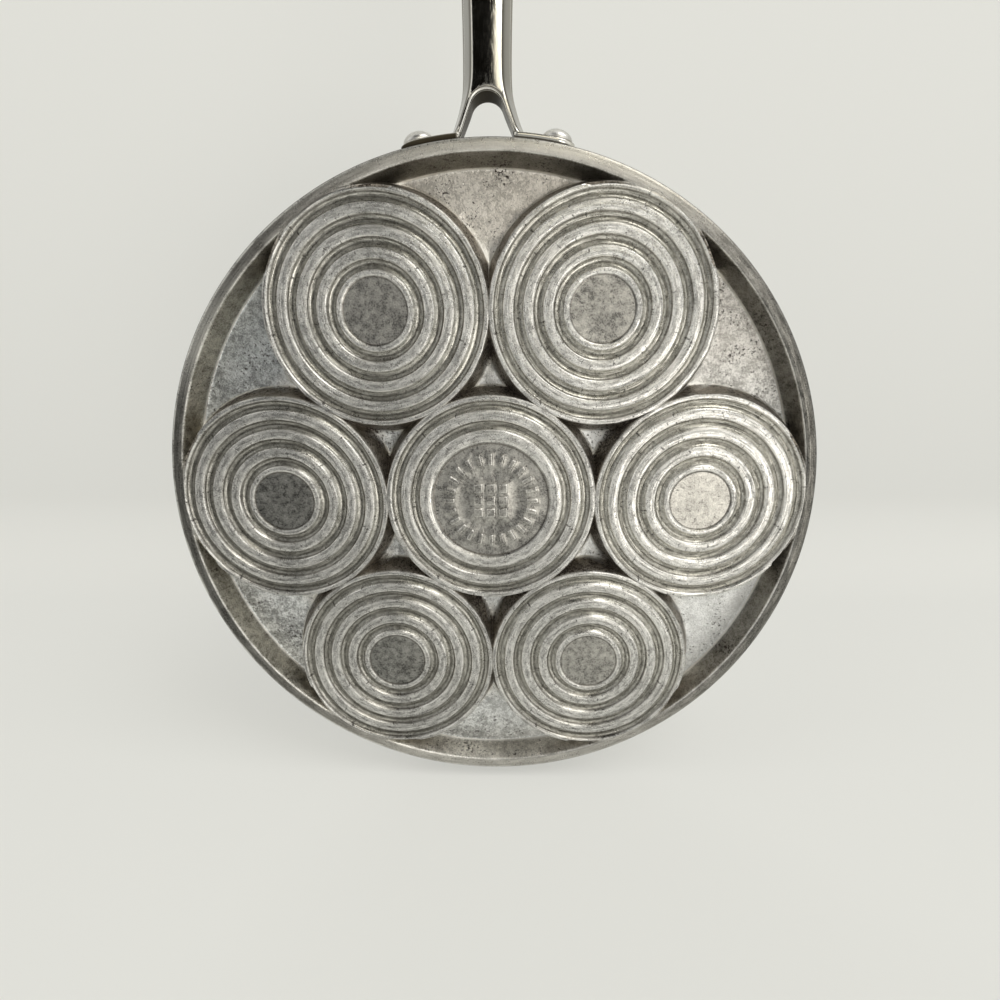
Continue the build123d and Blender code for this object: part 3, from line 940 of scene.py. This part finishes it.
# Painted shade: a dark line outside the foot ring where it turns up.
outside = span(far, 0.13295, 0.13325) * span(z, 0.004, 0.017, 1.0, 0.45)
# Painted highlight at the top near the handle and painted shade towards positive x; the bottom is a little
# lighter.
hoop = layered(
    blend(streaky, (0.20, 0.19, 0.17), (0.52, 0.50, 0.46)),
    (span(x, 0.03, 0.07, 0.0, 0.4), (0.06, 0.057, 0.05)),
    (span(y, 0.10, 0.128, 0.0, 0.5) * span(x, 0.01, 0.06, 1.0, 0.1), (0.90, 0.86, 0.77)),
    (span(y, -0.10, -0.125, 0.0, 0.2), (0.80, 0.78, 0.72)), (span(x, 0.06, 0.12), plus_x_shade),
    (span(x, -0.07, -0.12), minus_x_shade), (lit_arc, (0.50, 0.49, 0.45)), (bright_line, (0.80, 0.79, 0.74)),
    (0.9 * outside, (0.045, 0.04, 0.034)))
print("nodes with the foot ring", len(tree.nodes))

# %% [markdown]
# ## The casting's finish
# The coats go on in order: lands, discs, grooves, walls and floors, a painted glint on the
# fillets at the floor and painted shade in lower corners and along the groove and disc lines,
# the ring, the cooking side, edges rubbed bright with a painted highlight, and last the
# scratches and specks. Burnt specks and the painted dark line outside the foot ring lose
# their metal shine.

# %% Finish of the casting
# BRIGHT paints the glint and the rubbed edges with their painted highlight.
BRIGHT = (0.92, 0.90, 0.85)
# Painted glint on the fillets near the floor, and painted shade where the corner mask lies lower: lower
# corners, groove walls and disc edges.
glint = corner * span(z, 0.0085, 0.0105, -1.0, 1.0)
colour = layered(
    land, (disc, face), (span(groove, 0.0, 0.3), hollow), (wall, side), (floor, bottom),
    (span(glint, 0.12, 0.55, 0.0, 0.85), BRIGHT), (0.8 * highest(-1.0 * glint, 0.0), (0.05, 0.04, 0.03)),
    # Edges rubbed bright, partly a painted highlight.
    (rim, hoop), (cook, inside), (edge * span(mottle, 0.42, 0.56, 0.15, 0.9), BRIGHT),
    (0.6 * turning, (0.10, 0.095, 0.085)), (0.85 * nicks, (0.06, 0.055, 0.05)),
    (specks, (0.045, 0.036, 0.03)))
# Burnt specks and the painted dark line outside the foot ring lose their metal shine.
specks_and_edge_shade = highest(specks, 0.85 * (outside * (1 - cook)))
rough = span(patchy, 0.2, 0.8, 0.26, 0.36) + 0.12 * wall + 0.3 * specks
sand = 0.45 * highest(wall, cook) + span(painted_side_shade, 0.0, 1.0, 0.12, 0.24)
relief = grain["Height"] * sand - 0.35 * (turning + nicks)
dress(shader, {"Base Color": colour, "Metallic": span(specks_and_edge_shade, 0.0, 1.0, 1.0, 0.2), "Specular IOR Level": 0.15,
               "Roughness": span(rough, 0.0, 1.0), "Normal": bump(relief, 0.00035)})
print("casting material nodes", len(tree.nodes))

pan_casting = casting.finish("pan_casting", aluminium)
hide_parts("pan_body")
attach(pan_casting, "root")

# %% [markdown]
# ## Handle
# The handle is pressed from steel sheet: a channel whose two legs straddle an arch at the
# rim, closed by a cover that is welded on along the upper edges, and pressed flat at its
# end round a hole. It is one skin of lines that run across the handle. Each line starts at
# the arch, the middle or the hole, crosses the underside, climbs the flank and comes back
# over the crown. The sizes along the handle are soft curves of the distance from the rim.

# %% Handle sizes
SHEET = 2.0
EAR_GAP, EAR_BOTTOM, EAR_HEIGHT = 0.1, 2.0, 14.0
NECK, GRIP, HANDLE_END = 150.0, 285.0, 333.0
NECK_HALF, GRIP_MORE = 5.5, 3.4
DEPTH, FLAT_DEPTH, END_FLAT, END_FADE = 11.2, 4.6, 36.0, 16.0
LEG_END, LEG_SPREAD, LEG_FILLET, FILLET_FADE = 134.6, 0.37, 2.4, 1.3
FLANK_OUT, CROWN, BELLY = 3.456, 1.6, 0.7
END_RADIUS = NECK_HALF + GRIP_MORE + FLANK_OUT
END_MIDDLE = HANDLE_END - END_RADIUS
CLIMB = math.tan(math.radians(13.0))


def soft_ramp(reach, softness):
    """Nought, then the reach: half of the reach and of the root of its square and softness squared."""
    return (reach + np.hypot(reach, softness)) / 2


def handle_sizes(y):
    """Lowest height, depth and half width: ramps for climb and legs, steps for grip and end."""
    legs = soft_ramp(NECK - y, 4.0)
    share = np.minimum(legs / (NECK - FOOT_OUTER), 1.0)
    depth = DEPTH + (EAR_HEIGHT - DEPTH) * share
    depth = depth + (FLAT_DEPTH - depth) * smooth_step((y - HANDLE_END + END_FLAT) / END_FADE)
    fillet = LEG_FILLET * np.exp(-np.maximum(y - LEG_END, 0) / FILLET_FADE)
    half = NECK_HALF + LEG_SPREAD * legs + GRIP_MORE * smooth_step((y - NECK) / (GRIP - NECK)) + fillet
    low = EAR_BOTTOM + CLIMB * soft_ramp(y - NECK, 16.0) * (1 - share)
    return low, depth, half


def underside(x, y):
    """Height of the belly: the lowest, and the belly's rise times the squared share of the half."""
    low, _, half = handle_sizes(y)
    return low + BELLY * np.minimum(np.abs(x) / half, 1.2) ** 2


def crown(x, y):
    """Height of the top: its middle less the crown's rise times the squared share of the half width."""
    low, depth, half = handle_sizes(y)
    return low + depth - CROWN * np.minimum(np.abs(x) / (half + FLANK_OUT), 1.2) ** 2


print("handle at the neck", [round(float(v), 2) for v in handle_sizes(np.array(NECK))])

# %% [markdown]
# ## Lines across the handle
# The lines' inner ends follow the arch's edge, then the middle, then the hole. Their outer
# ends run along the flank and round the tip. Spreading both evenly keeps the squares of the
# mesh alike, so that the polished steel shows smooth reflections.

# %% Where the lines start
ARCH_ROUND, HOLE_ROUND = 1.35, 0.6
ARCH_FOOT, ARCH_HALF = 9.73, 5.7
ARCH_BEND, ARCH_TOP = 145.0, 149.0
HOLE_PLACE, HOLE_RADIUS = 322.0, 4.0
arch_circle = (ARCH_HALF ** 2 + (ARCH_TOP - ARCH_BEND) ** 2) / (2 * (ARCH_TOP - ARCH_BEND))
arch_middle = ARCH_TOP - arch_circle
leg_start = np.array([ARCH_FOOT, LEG_END])
leg_points = leg_start + np.linspace(0, 1, 9)[:-1, None] * (np.array([ARCH_HALF, ARCH_BEND]) - leg_start)
bow = np.linspace(math.asin((ARCH_BEND - arch_middle) / arch_circle), math.pi / 2, 10)
bow_normals = unit(bow)
arch_points = np.concatenate([leg_points, arch_circle * bow_normals + (0, arch_middle)])
arch_normals = np.concatenate([np.repeat(bow_normals[:1], len(leg_points), axis=0), bow_normals])
arch_normals[-1] = (0.0, 1.0)
arch_points[-1] = (0.0, ARCH_TOP)

hole_normals = unit(np.linspace(-math.pi / 2, math.pi / 2, 19))
hole_normals[0], hole_normals[-1] = (0.0, -1.0), (0.0, 1.0)
hole_shift = CLIMB * FLAT_DEPTH / 2


def inner_ends(hole_middle):
    """Start of every line on one face: past the arch's rounding, up the middle, round the hole."""
    along = np.linspace(ARCH_TOP + ARCH_ROUND, hole_middle - HOLE_RADIUS - HOLE_ROUND, 46)[1:-1]
    middle = np.stack([np.zeros_like(along), along], -1)
    hole = hole_normals * (HOLE_RADIUS + HOLE_ROUND) + (0.0, hole_middle)
    return np.concatenate([arch_points + arch_normals * ARCH_ROUND, middle, hole])


lower_ends, upper_ends = inner_ends(HOLE_PLACE + hole_shift), inner_ends(HOLE_PLACE - hole_shift)
count = len(lower_ends)
print("lines across the handle", count)

# %% [markdown]
# ## Ends of the lines
# The outer ends are listed at a few stations and spread between them. From the tip's middle
# on they turn round a half circle, and their normals, which the flank leans along, turn too.

# %% Where the lines end
tip_start = count - len(hole_normals) + 6
stations = [0, len(arch_points) - 1, len(arch_points) + 10, tip_start - 6, tip_start]
outer_y = np.interp(np.arange(count), stations, [LEG_END, 157.0, 185.0, 315.0, END_MIDDLE])
tip = np.clip((np.arange(count) - tip_start) / (count - 1 - tip_start), 0, 1) * math.pi / 2
outer_normals = unit(tip)
outer_normals[-1] = (0.0, 1.0)
outer_x = np.where(tip > 0, END_RADIUS * np.cos(tip), handle_sizes(outer_y)[2] + FLANK_OUT)
outer_y = np.where(tip > 0, END_MIDDLE + END_RADIUS * np.sin(tip), outer_y)
outer_x[-1] = 0.0
outer_ends = np.stack([outer_x, outer_y], -1)
print("widest half", round(float(outer_x.max()), 2), "mm")

# %% [markdown]
# ## The handle's section
# Each corner of the section is a quadratic curve between a point on one face and a point
# on the next, so the edges are rounded as pressed sheet is. Where the cover meets the
# channel there is a fine hollow, which is the weld's line.

# %% Section from belly to crown
def corner_curve(start, sharp, end, steps):
    """Quadratic curve from start to end, drawn towards the sharp corner, without its ends."""
    t = np.linspace(0, 1, steps)[1:-1, None, None]
    return (1 - t) ** 2 * start + 2 * t * (1 - t) * sharp + t ** 2 * end


def lifted(flat, height):
    """Points of a face: their place in plan with the height there."""
    return np.concatenate([flat, height(flat[..., 0], flat[..., 1])[..., None]], -1)


LOW_ROUND, FLANK_LOW, FLANK_HIGH, CROWN_ROUND = 1.1, 1.3, 0.8, 1.2
SEAM_END, SEAM_FADE = 294.0, 6.0
below_ends = outer_ends - FLANK_OUT * outer_normals
crown_ends = outer_ends - CROWN_ROUND * outer_normals
share = np.linspace(0, 1, 9)[:, None, None]
belly_points = lifted(lower_ends + (below_ends - LOW_ROUND * outer_normals - lower_ends) * share, underside)
low_corner, top_corner = lifted(below_ends, underside), lifted(outer_ends, crown)
flank_way = top_corner - low_corner
flank_way /= np.linalg.norm(flank_way, axis=-1, keepdims=True)
flank_start, flank_end = low_corner + FLANK_LOW * flank_way, top_corner - FLANK_HIGH * flank_way
seam_place = np.array([1.95, 1.7, 1.5, 1.3, 1.05])[:, None, None]
seam_depth = np.array([0, 0.1, 0.24, 0.1, 0])[:, None, None]
seam_fade = smooth_step((outer_y - ARCH_TOP) / SEAM_FADE)
seam_fade = seam_fade * (1 - smooth_step((outer_y - SEAM_END) / SEAM_FADE))
inward = np.concatenate([-outer_normals, np.zeros((count, 1))], -1)
seam_points = top_corner - seam_place * flank_way + seam_depth * seam_fade[None, :, None] * inward
flank_points = flank_start + (seam_points[:1] - flank_start) * np.linspace(0, 1, 6)[1:-1, None, None]
crown_points = lifted(crown_ends + (upper_ends - crown_ends) * share, crown)
section = np.concatenate([
    belly_points, corner_curve(belly_points[-1], low_corner, flank_start, 6), flank_start[None], flank_points,
    seam_points, flank_end[None], corner_curve(flank_end, top_corner, crown_points[0], 5), crown_points])
print("points in a line", len(section))

# %% [markdown]
# ## The handle's skin
# The same half serves for both sides, mirrored. The arch's edge and the hole's edge are
# rounded beads with a wall between them, and each leg's end is closed by a fan that follows
# the rim's cone. The masks mark flank, rubbed bead with a painted highlight, and painted shade on the wall
# for the finish.

# %% Handle skin
def to_rim(points):
    """Leg ends follow the rim's wall: the distance to its cone fades out over ten millimetres."""
    x, y, z = points[..., 0], points[..., 1], points[..., 2]
    cone = np.sqrt(np.maximum((FOOT_OUTER + 1.1 + RIM_SLOPE * z) ** 2 - x ** 2, 1.0))
    return np.stack([x, y + (cone - LEG_END) * (1 - smooth_step((y - LEG_END) / 10.0)), z], -1)


def edge_bead(points, normals, lower, radius):
    """Rounded edge of an opening: a quarter circle from the face to the wall."""
    turn = np.linspace(0, math.pi / 2, 6)[:, None]
    flat = points + (radius * (1 - np.sin(turn)))[..., None] * normals
    drop = radius * (1 - np.cos(turn))
    face = underside if lower else crown
    height = face(flat[..., 0], flat[..., 1]) + (drop if lower else -drop)
    return np.concatenate([flat, height[..., None]], -1)


flank_rows = np.zeros(len(section))
climbing = slice(len(belly_points) + 1, len(section) - len(crown_points) - 2)
flank_rows[climbing] = np.linspace(1.0, 0.75, len(flank_rows[climbing]))
# Painted highlight on the beads' rubbed rows.
bead_rub_and_highlight, bead_shade = np.array([0.0, 0.0, 0.8, 1.0, 0.8, 0.0]), np.array([0.3, 1.0, 0.5, 0.0, 0.0])
rub_and_highlight_rows = np.concatenate([bead_rub_and_highlight, np.zeros(4), bead_rub_and_highlight[::-1]])
# Painted shade on the walls inside the arch and the hole, and on the beads next to them.
inner_shade_rows = np.concatenate([bead_shade, np.ones(6), bead_shade[::-1]])
hole_edge = hole_normals * HOLE_RADIUS
openings = ((arch_points, arch_points, arch_normals, ARCH_ROUND),
            (hole_edge + (0.0, HOLE_PLACE + hole_shift), hole_edge + (0.0, HOLE_PLACE - hole_shift),
             hole_normals, HOLE_ROUND))
handle = Skin(("edge", "flank", "inner"))
for side_sign in (1, -1):
    mirror = np.array([side_sign, 1, 1])
    handle.add(to_rim(section) * mirror, flank=flank_rows[:, None])
    for low_points, high_points, normals, radius in openings:
        low_bead = edge_bead(low_points, normals, True, radius)
        high_bead = edge_bead(high_points, normals, False, radius)[::-1]
        walls = low_bead[-1] + (high_bead[0] - low_bead[-1]) * np.linspace(0, 1, 6)[1:-1, None, None]
        opening = to_rim(np.concatenate([low_bead, walls, high_bead]))
        handle.add(opening * mirror, edge=rub_and_highlight_rows[:, None], inner=inner_shade_rows[:, None])
        if radius == ARCH_ROUND:
            foot = np.concatenate([to_rim(section)[:, 0], opening[::-1][1:-1, 0]]) * mirror
            handle.close(foot, foot.mean(axis=0))
print("handle points", handle.count)

# %% [markdown]
# ## Ears
# Each leg turns outwards into a flat ear that lies on the rim under its rivet. An ear is a
# strip with a rounded section carried round the rim's cone, and its height shrinks to
# nothing round the end as a half circle does.

# %% Ears on the rim
EAR_START, EAR_ROUND = 9.8, 0.55
RIVET_SPREAD, EAR_END_RADIUS = 25.0, 7.0
end_turn = np.linspace(0, math.pi / 2, 12)[1:]
ear_x = np.append(np.linspace(EAR_START, RIVET_SPREAD, 12), RIVET_SPREAD + EAR_END_RADIUS * np.sin(end_turn))
ear_half = EAR_END_RADIUS * np.concatenate([np.ones(12), np.cos(end_turn)])
ear_half[-1] = 0.0
quarter = np.linspace(0, math.pi / 2, 5)
corner_x = SHEET - EAR_ROUND + EAR_ROUND * np.sin(quarter)
corner_loop = np.stack([corner_x, 0 * quarter - 1, 1 - np.cos(quarter)], -1)
half_loop = np.vstack([(0.0, -1.0, 0.0), corner_loop])
loop = np.concatenate([half_loop, half_loop[::-1] * (1, -1, 1)])
lift = EAR_BOTTOM + EAR_HEIGHT / 2 + loop[:, 1:2] * np.maximum(ear_half - loop[:, 2:3] * EAR_ROUND, 0.0)
reach = FOOT_OUTER + RIM_SLOPE * lift + EAR_GAP + loop[:, :1]
ear = np.stack([0 * lift + ear_x, np.sqrt(reach ** 2 - ear_x ** 2), lift], -1).transpose(1, 0, 2)
# The ears' edge rows are rubbed, with a painted highlight.
ear_edge = np.append(np.linspace(0, 1, 6), np.linspace(1, 0, 6))
# Painted shade: one ear's lower face and the other ear's lower rounded edge are painted dark.
ear_shade = {1: (1.0, 1.0, 0.9, 0.3, 0.0, 0.0), -1: (0.0, 0.0, 0.0, 0.9, 0.8, 0.0)}
for side_sign in (1, -1):
    mirror = np.array([side_sign, 1, 1])
    ear_shade_rows = np.append(ear_shade[side_sign], np.zeros(6)) * (ear_x > EAR_START + 0.1)[:, None]
    handle.add(ear * mirror, around=True, edge=ear_edge * (ear_shade_rows == 0), inner=ear_shade_rows)
    handle.add(ear[0] * mirror, [np.arange(len(loop))[::-1]])
print("ear length", round(ear_x[-1] - ear_x[0], 1), "mm")

# %% [markdown]
# ## Polished steel
# The sheet was polished along the handle, so its scratches run that way and its reflections
# stay long and soft. Rubbed edges are a little brighter, with a painted highlight, and painted
# shade browns the flanks, more on one side, and the inside of the arch and the hole and parts of the ears.

# %% Steel
steel, shader, place = start_material("polished_steel")
brush = use(fine_scratches, Vector=place, Along=(1600, 30, 1600), Amount=1.0)["Mask"]
clouds = span(use(cast_grain, Vector=place, Size=0.2)["Mottle"], 0.38, 0.62)
rub_and_highlight, flank, inner_shade = map(mask, ("edge", "flank", "inner"))
x = parts_of(place)[0]
# Painted shade on the flanks: dark brown, darkest on the lowest part on the negative-x side and evenly dark
# on the positive-x side.
flank_shade = layered(blend(span(flank, 0.86, 0.97), (0.17, 0.155, 0.12), (0.05, 0.042, 0.03)),
               (span(x, -0.003, 0.003), (0.12, 0.115, 0.10)))
# Rubbed edges are brightened with a painted highlight, weaker towards negative x.
tone = layered(blend(clouds, (0.61, 0.59, 0.53), (0.68, 0.66, 0.61)), (0.9 * flank, flank_shade),
               (inner_shade, (0.055, 0.046, 0.03)), (rub_and_highlight * span(x, -0.006, -0.001, 0.2, 0.9), (0.90, 0.88, 0.83)))
rough = span(clouds, 0.0, 1.0, 0.09, 0.14) + 0.07 * brush
# The painted shade of the inner mask is dark and loses its metal shine.
dress(shader, {"Base Color": tone, "Metallic": span(inner_shade, 0.0, 0.9, 1.0, 0.0), "IOR": 1.07,
               "Roughness": rough, "Normal": bump(brush, 0.00001)})

handle_shell = handle.finish("handle_shell", steel)
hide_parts("handle_channel", "handle_cover")
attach(handle_shell, "root")

# %% [markdown]
# ## Rivets
# A rivet's head is a dome that a tool has struck, so it is a profile turned about the
# rivet's own axis, which stands square to the rim's wall. Its foot is rounded where it
# meets the ear, and its metal is softer and duller than the steel.

# %% Rivet metal
rivet_metal, shader, place = start_material("satin_rivet_aluminium")
grain = use(cast_grain, Vector=place, Size=0.5)
clouds = span(grain["Mottle"], 0.38, 0.62)
tone = layered(blend(clouds, (0.52, 0.51, 0.48), (0.76, 0.75, 0.72)),
               (use(burnt_specks, Vector=place, Amount=0.25)["Mask"], (0.08, 0.07, 0.06)))
dress(shader, {"Base Color": tone, "Metallic": 1.0, "Roughness": span(clouds, 0.0, 1.0, 0.3, 0.42),
               "Normal": bump(grain["Height"], 0.0001)})
print("rivet material nodes", len(tree.nodes))

# %% [markdown]
# ## Rivet heads
# The wall leans outwards by the rim's draft, so the axis tilts down by the same angle. Two
# directions square to it carry the profile round, and a fan closes the dome's pole.

# %% Rivet heads
HEAD_RADIUS, HEAD_HEIGHT, HEAD_SEAT, HEAD_WALL = 5.6, 3.7, 0.02, 0.45
swing = np.linspace(0, 1, 14) * math.pi / 2
dome_height = HEAD_SEAT + HEAD_WALL + (HEAD_HEIGHT - HEAD_SEAT - HEAD_WALL) * np.cos(swing) ** 1.15
profile = np.concatenate([np.stack([HEAD_RADIUS * np.sin(swing), dome_height], -1)[1:],
                          [[5.45, 0.15], [5.2, HEAD_SEAT]]])
turns = np.linspace(0, 2 * math.pi, 48, endpoint=False)[:, None]
tilt = math.atan(RIM_SLOPE)
level = EAR_BOTTOM + EAR_HEIGHT / 2
wall_reach = FOOT_OUTER + RIM_SLOPE * level
seat_turn = math.asin(RIVET_SPREAD / wall_reach)
for name, side_sign in (("rivet_left", -1), ("rivet_right", 1)):
    outward = np.array([side_sign * math.sin(seat_turn), math.cos(seat_turn), 0.0])
    axis = outward * math.cos(tilt) - (0, 0, math.sin(tilt))
    along = np.cross([0, 0, 1.0], outward)
    seat = outward * wall_reach + (0, 0, level) + axis * (EAR_GAP + SHEET)
    circle = np.cos(turns) * along + np.sin(turns) * np.cross(axis, along)
    points = seat + profile[:, None, :1] * circle + profile[:, None, 1:] * axis
    head = Skin(("edge",))
    head.add(points, around=True)
    head.close(points[0], seat + axis * HEAD_HEIGHT)
    head.add(points[-1], [np.arange(len(turns))])
    rivet_head = head.finish(name + "_head", rivet_metal)
    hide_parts(name)
    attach(rivet_head, "root")

# %% [markdown]
# ## Floor and backdrop
# A pale sheet lies under the pan and rises behind it in one curve, as a photographer's
# paper does. It takes the pan's shadow, and glows a little for the camera and in the metal,
# so that no lamp has to be turned up for it. Its back is clear, so it never hides the pan
# from another side.

# %% Paper sheet
SHEET_UP = np.array([0.0, 0.990, -0.143])
SHEET_UP /= np.linalg.norm(SHEET_UP)
SHEET_AWAY = np.array([0.0, 0.143, 0.990])
SHEET_AWAY /= np.linalg.norm(SHEET_AWAY)
SHEET_CORNER = np.array([0.0, -108.9, 209.2])
sheet_line = rounded_line([(-760, 0), (0, 0), (0, 2500)], [60], 16)
side_way = np.linspace(-2500, 2500, 2)[:, None, None] * np.array([1.0, 0, 0])
sheet_points = (SHEET_CORNER + sheet_line[:, :1] * SHEET_AWAY + sheet_line[:, 1:] * SHEET_UP)[None] + side_way
sheet_mesh = bpy.data.meshes.new("paper_sheet")
sheet_faces = grid_faces(2, len(sheet_line))
sheet_mesh.from_pydata((sheet_points.reshape(-1, 3) * MM).tolist(), [], sheet_faces.tolist())
sheet_mesh.shade_smooth()
paper_sheet = add_object("paper_sheet", sheet_mesh)
paper_sheet.visible_shadow = False

paper = bpy.data.materials.new("paper")
start_tree(paper)
seen = highest(*(put("ShaderNodeLightPath", out=ray) for ray in ("Is Camera Ray", "Is Glossy Ray")))
glow = put("ShaderNodeEmission", {"Color": (0.86, 0.86, 0.81), "Strength": 0.55 * seen})
dull = put("ShaderNodeBsdfDiffuse", {"Color": (0.34, 0.34, 0.325)})
shading = put("ShaderNodeAddShader", {0: glow, 1: dull})
back = put("ShaderNodeNewGeometry", out="Backfacing")
both = put("ShaderNodeMixShader", {0: back, 1: shading, 2: put("ShaderNodeBsdfTransparent")})
node("ShaderNodeOutputMaterial", {0: both})
sheet_mesh.materials.append(paper)
print("sheet faces the camera", sheet_mesh.polygons[0].normal.dot(Vector(SHEET_UP)) > 0)

# %% [markdown]
# ## Light
# Metal shows what stands in front of it, so its light is mostly the room. The world is a
# soft grey sphere with a bright window to one side and a dark corner to the other, and it
# is pale for the camera. Each field of it fades in as a ray turns towards a direction.

# %% World
world = bpy.data.worlds.new("studio")
bpy.context.scene.world = world
start_tree(world)
look = put("ShaderNodeTexCoord", out="Generated")


def lobe(direction, low, high):
    """Nought to one as a ray turns towards a direction: its cosine carried from one range to another."""
    cosine = vector("DOT_PRODUCT", look, tuple(Vector(direction).normalized()), out="Value")
    return put("ShaderNodeMapRange", {0: cosine, 1: low, 2: high}, interpolation_type="SMOOTHSTEP")


room = layered(
    (1.1, 1.1, 1.07),
    (lobe((0.0, 0.0, -1.0), 0.25, 0.90), (0.50, 0.50, 0.49)),
    (lobe((0.60, -0.2, -0.75), 0.75, 0.97), (0.30, 0.30, 0.295)),
    (lobe((-0.10, 0.34, -0.935), 0.980, 0.994), (1.5, 1.43, 1.2)),
    (lobe((0.16, 0.80, -0.58), 0.88, 0.95), (0.004, 0.0037, 0.003)),
    (lobe((-0.40, 0.70, -0.60), 0.958, 0.985), (1.9, 1.8, 1.5)),
    (lobe((-0.48, -0.26, -0.84), 0.925, 0.975), (3.3, 3.2, 3.0)))
shown = blend(put("ShaderNodeLightPath", out="Is Camera Ray"), room, (0.76, 0.76, 0.72))
node("ShaderNodeOutputWorld", {0: put("ShaderNodeBackground", {"Color": shown})})
print("world nodes", len(tree.nodes))

# %% [markdown]
# ## Lamps
# A large area lamp adds a soft shadow on the sheet, and one more stands behind for the
# cooking side. Both are weak, so that a colour renders about as it is written.

# %% Lamps
def area_lamp(name, place, size, power):
    """A square soft lamp at a place in metres, turned to the pan's middle, unseen itself."""
    data = bpy.data.lights.new(name, "AREA")
    data.shape = "SQUARE"
    data.size = size
    data.energy = power
    lamp = add_object(name, data)
    lamp.location = place
    lamp.rotation_euler = (-Vector(place)).to_track_quat("-Z", "Y").to_euler()
    lamp.visible_camera = False
    print(name, power, "W")


area_lamp("high_softbox", (-0.7, 1.3, -0.5), 0.8, 6.0)
area_lamp("cook_side_softbox", (0.5, 0.7, 1.4), 0.9, 6.0)
bpy.context.scene.view_settings.view_transform = "Standard"
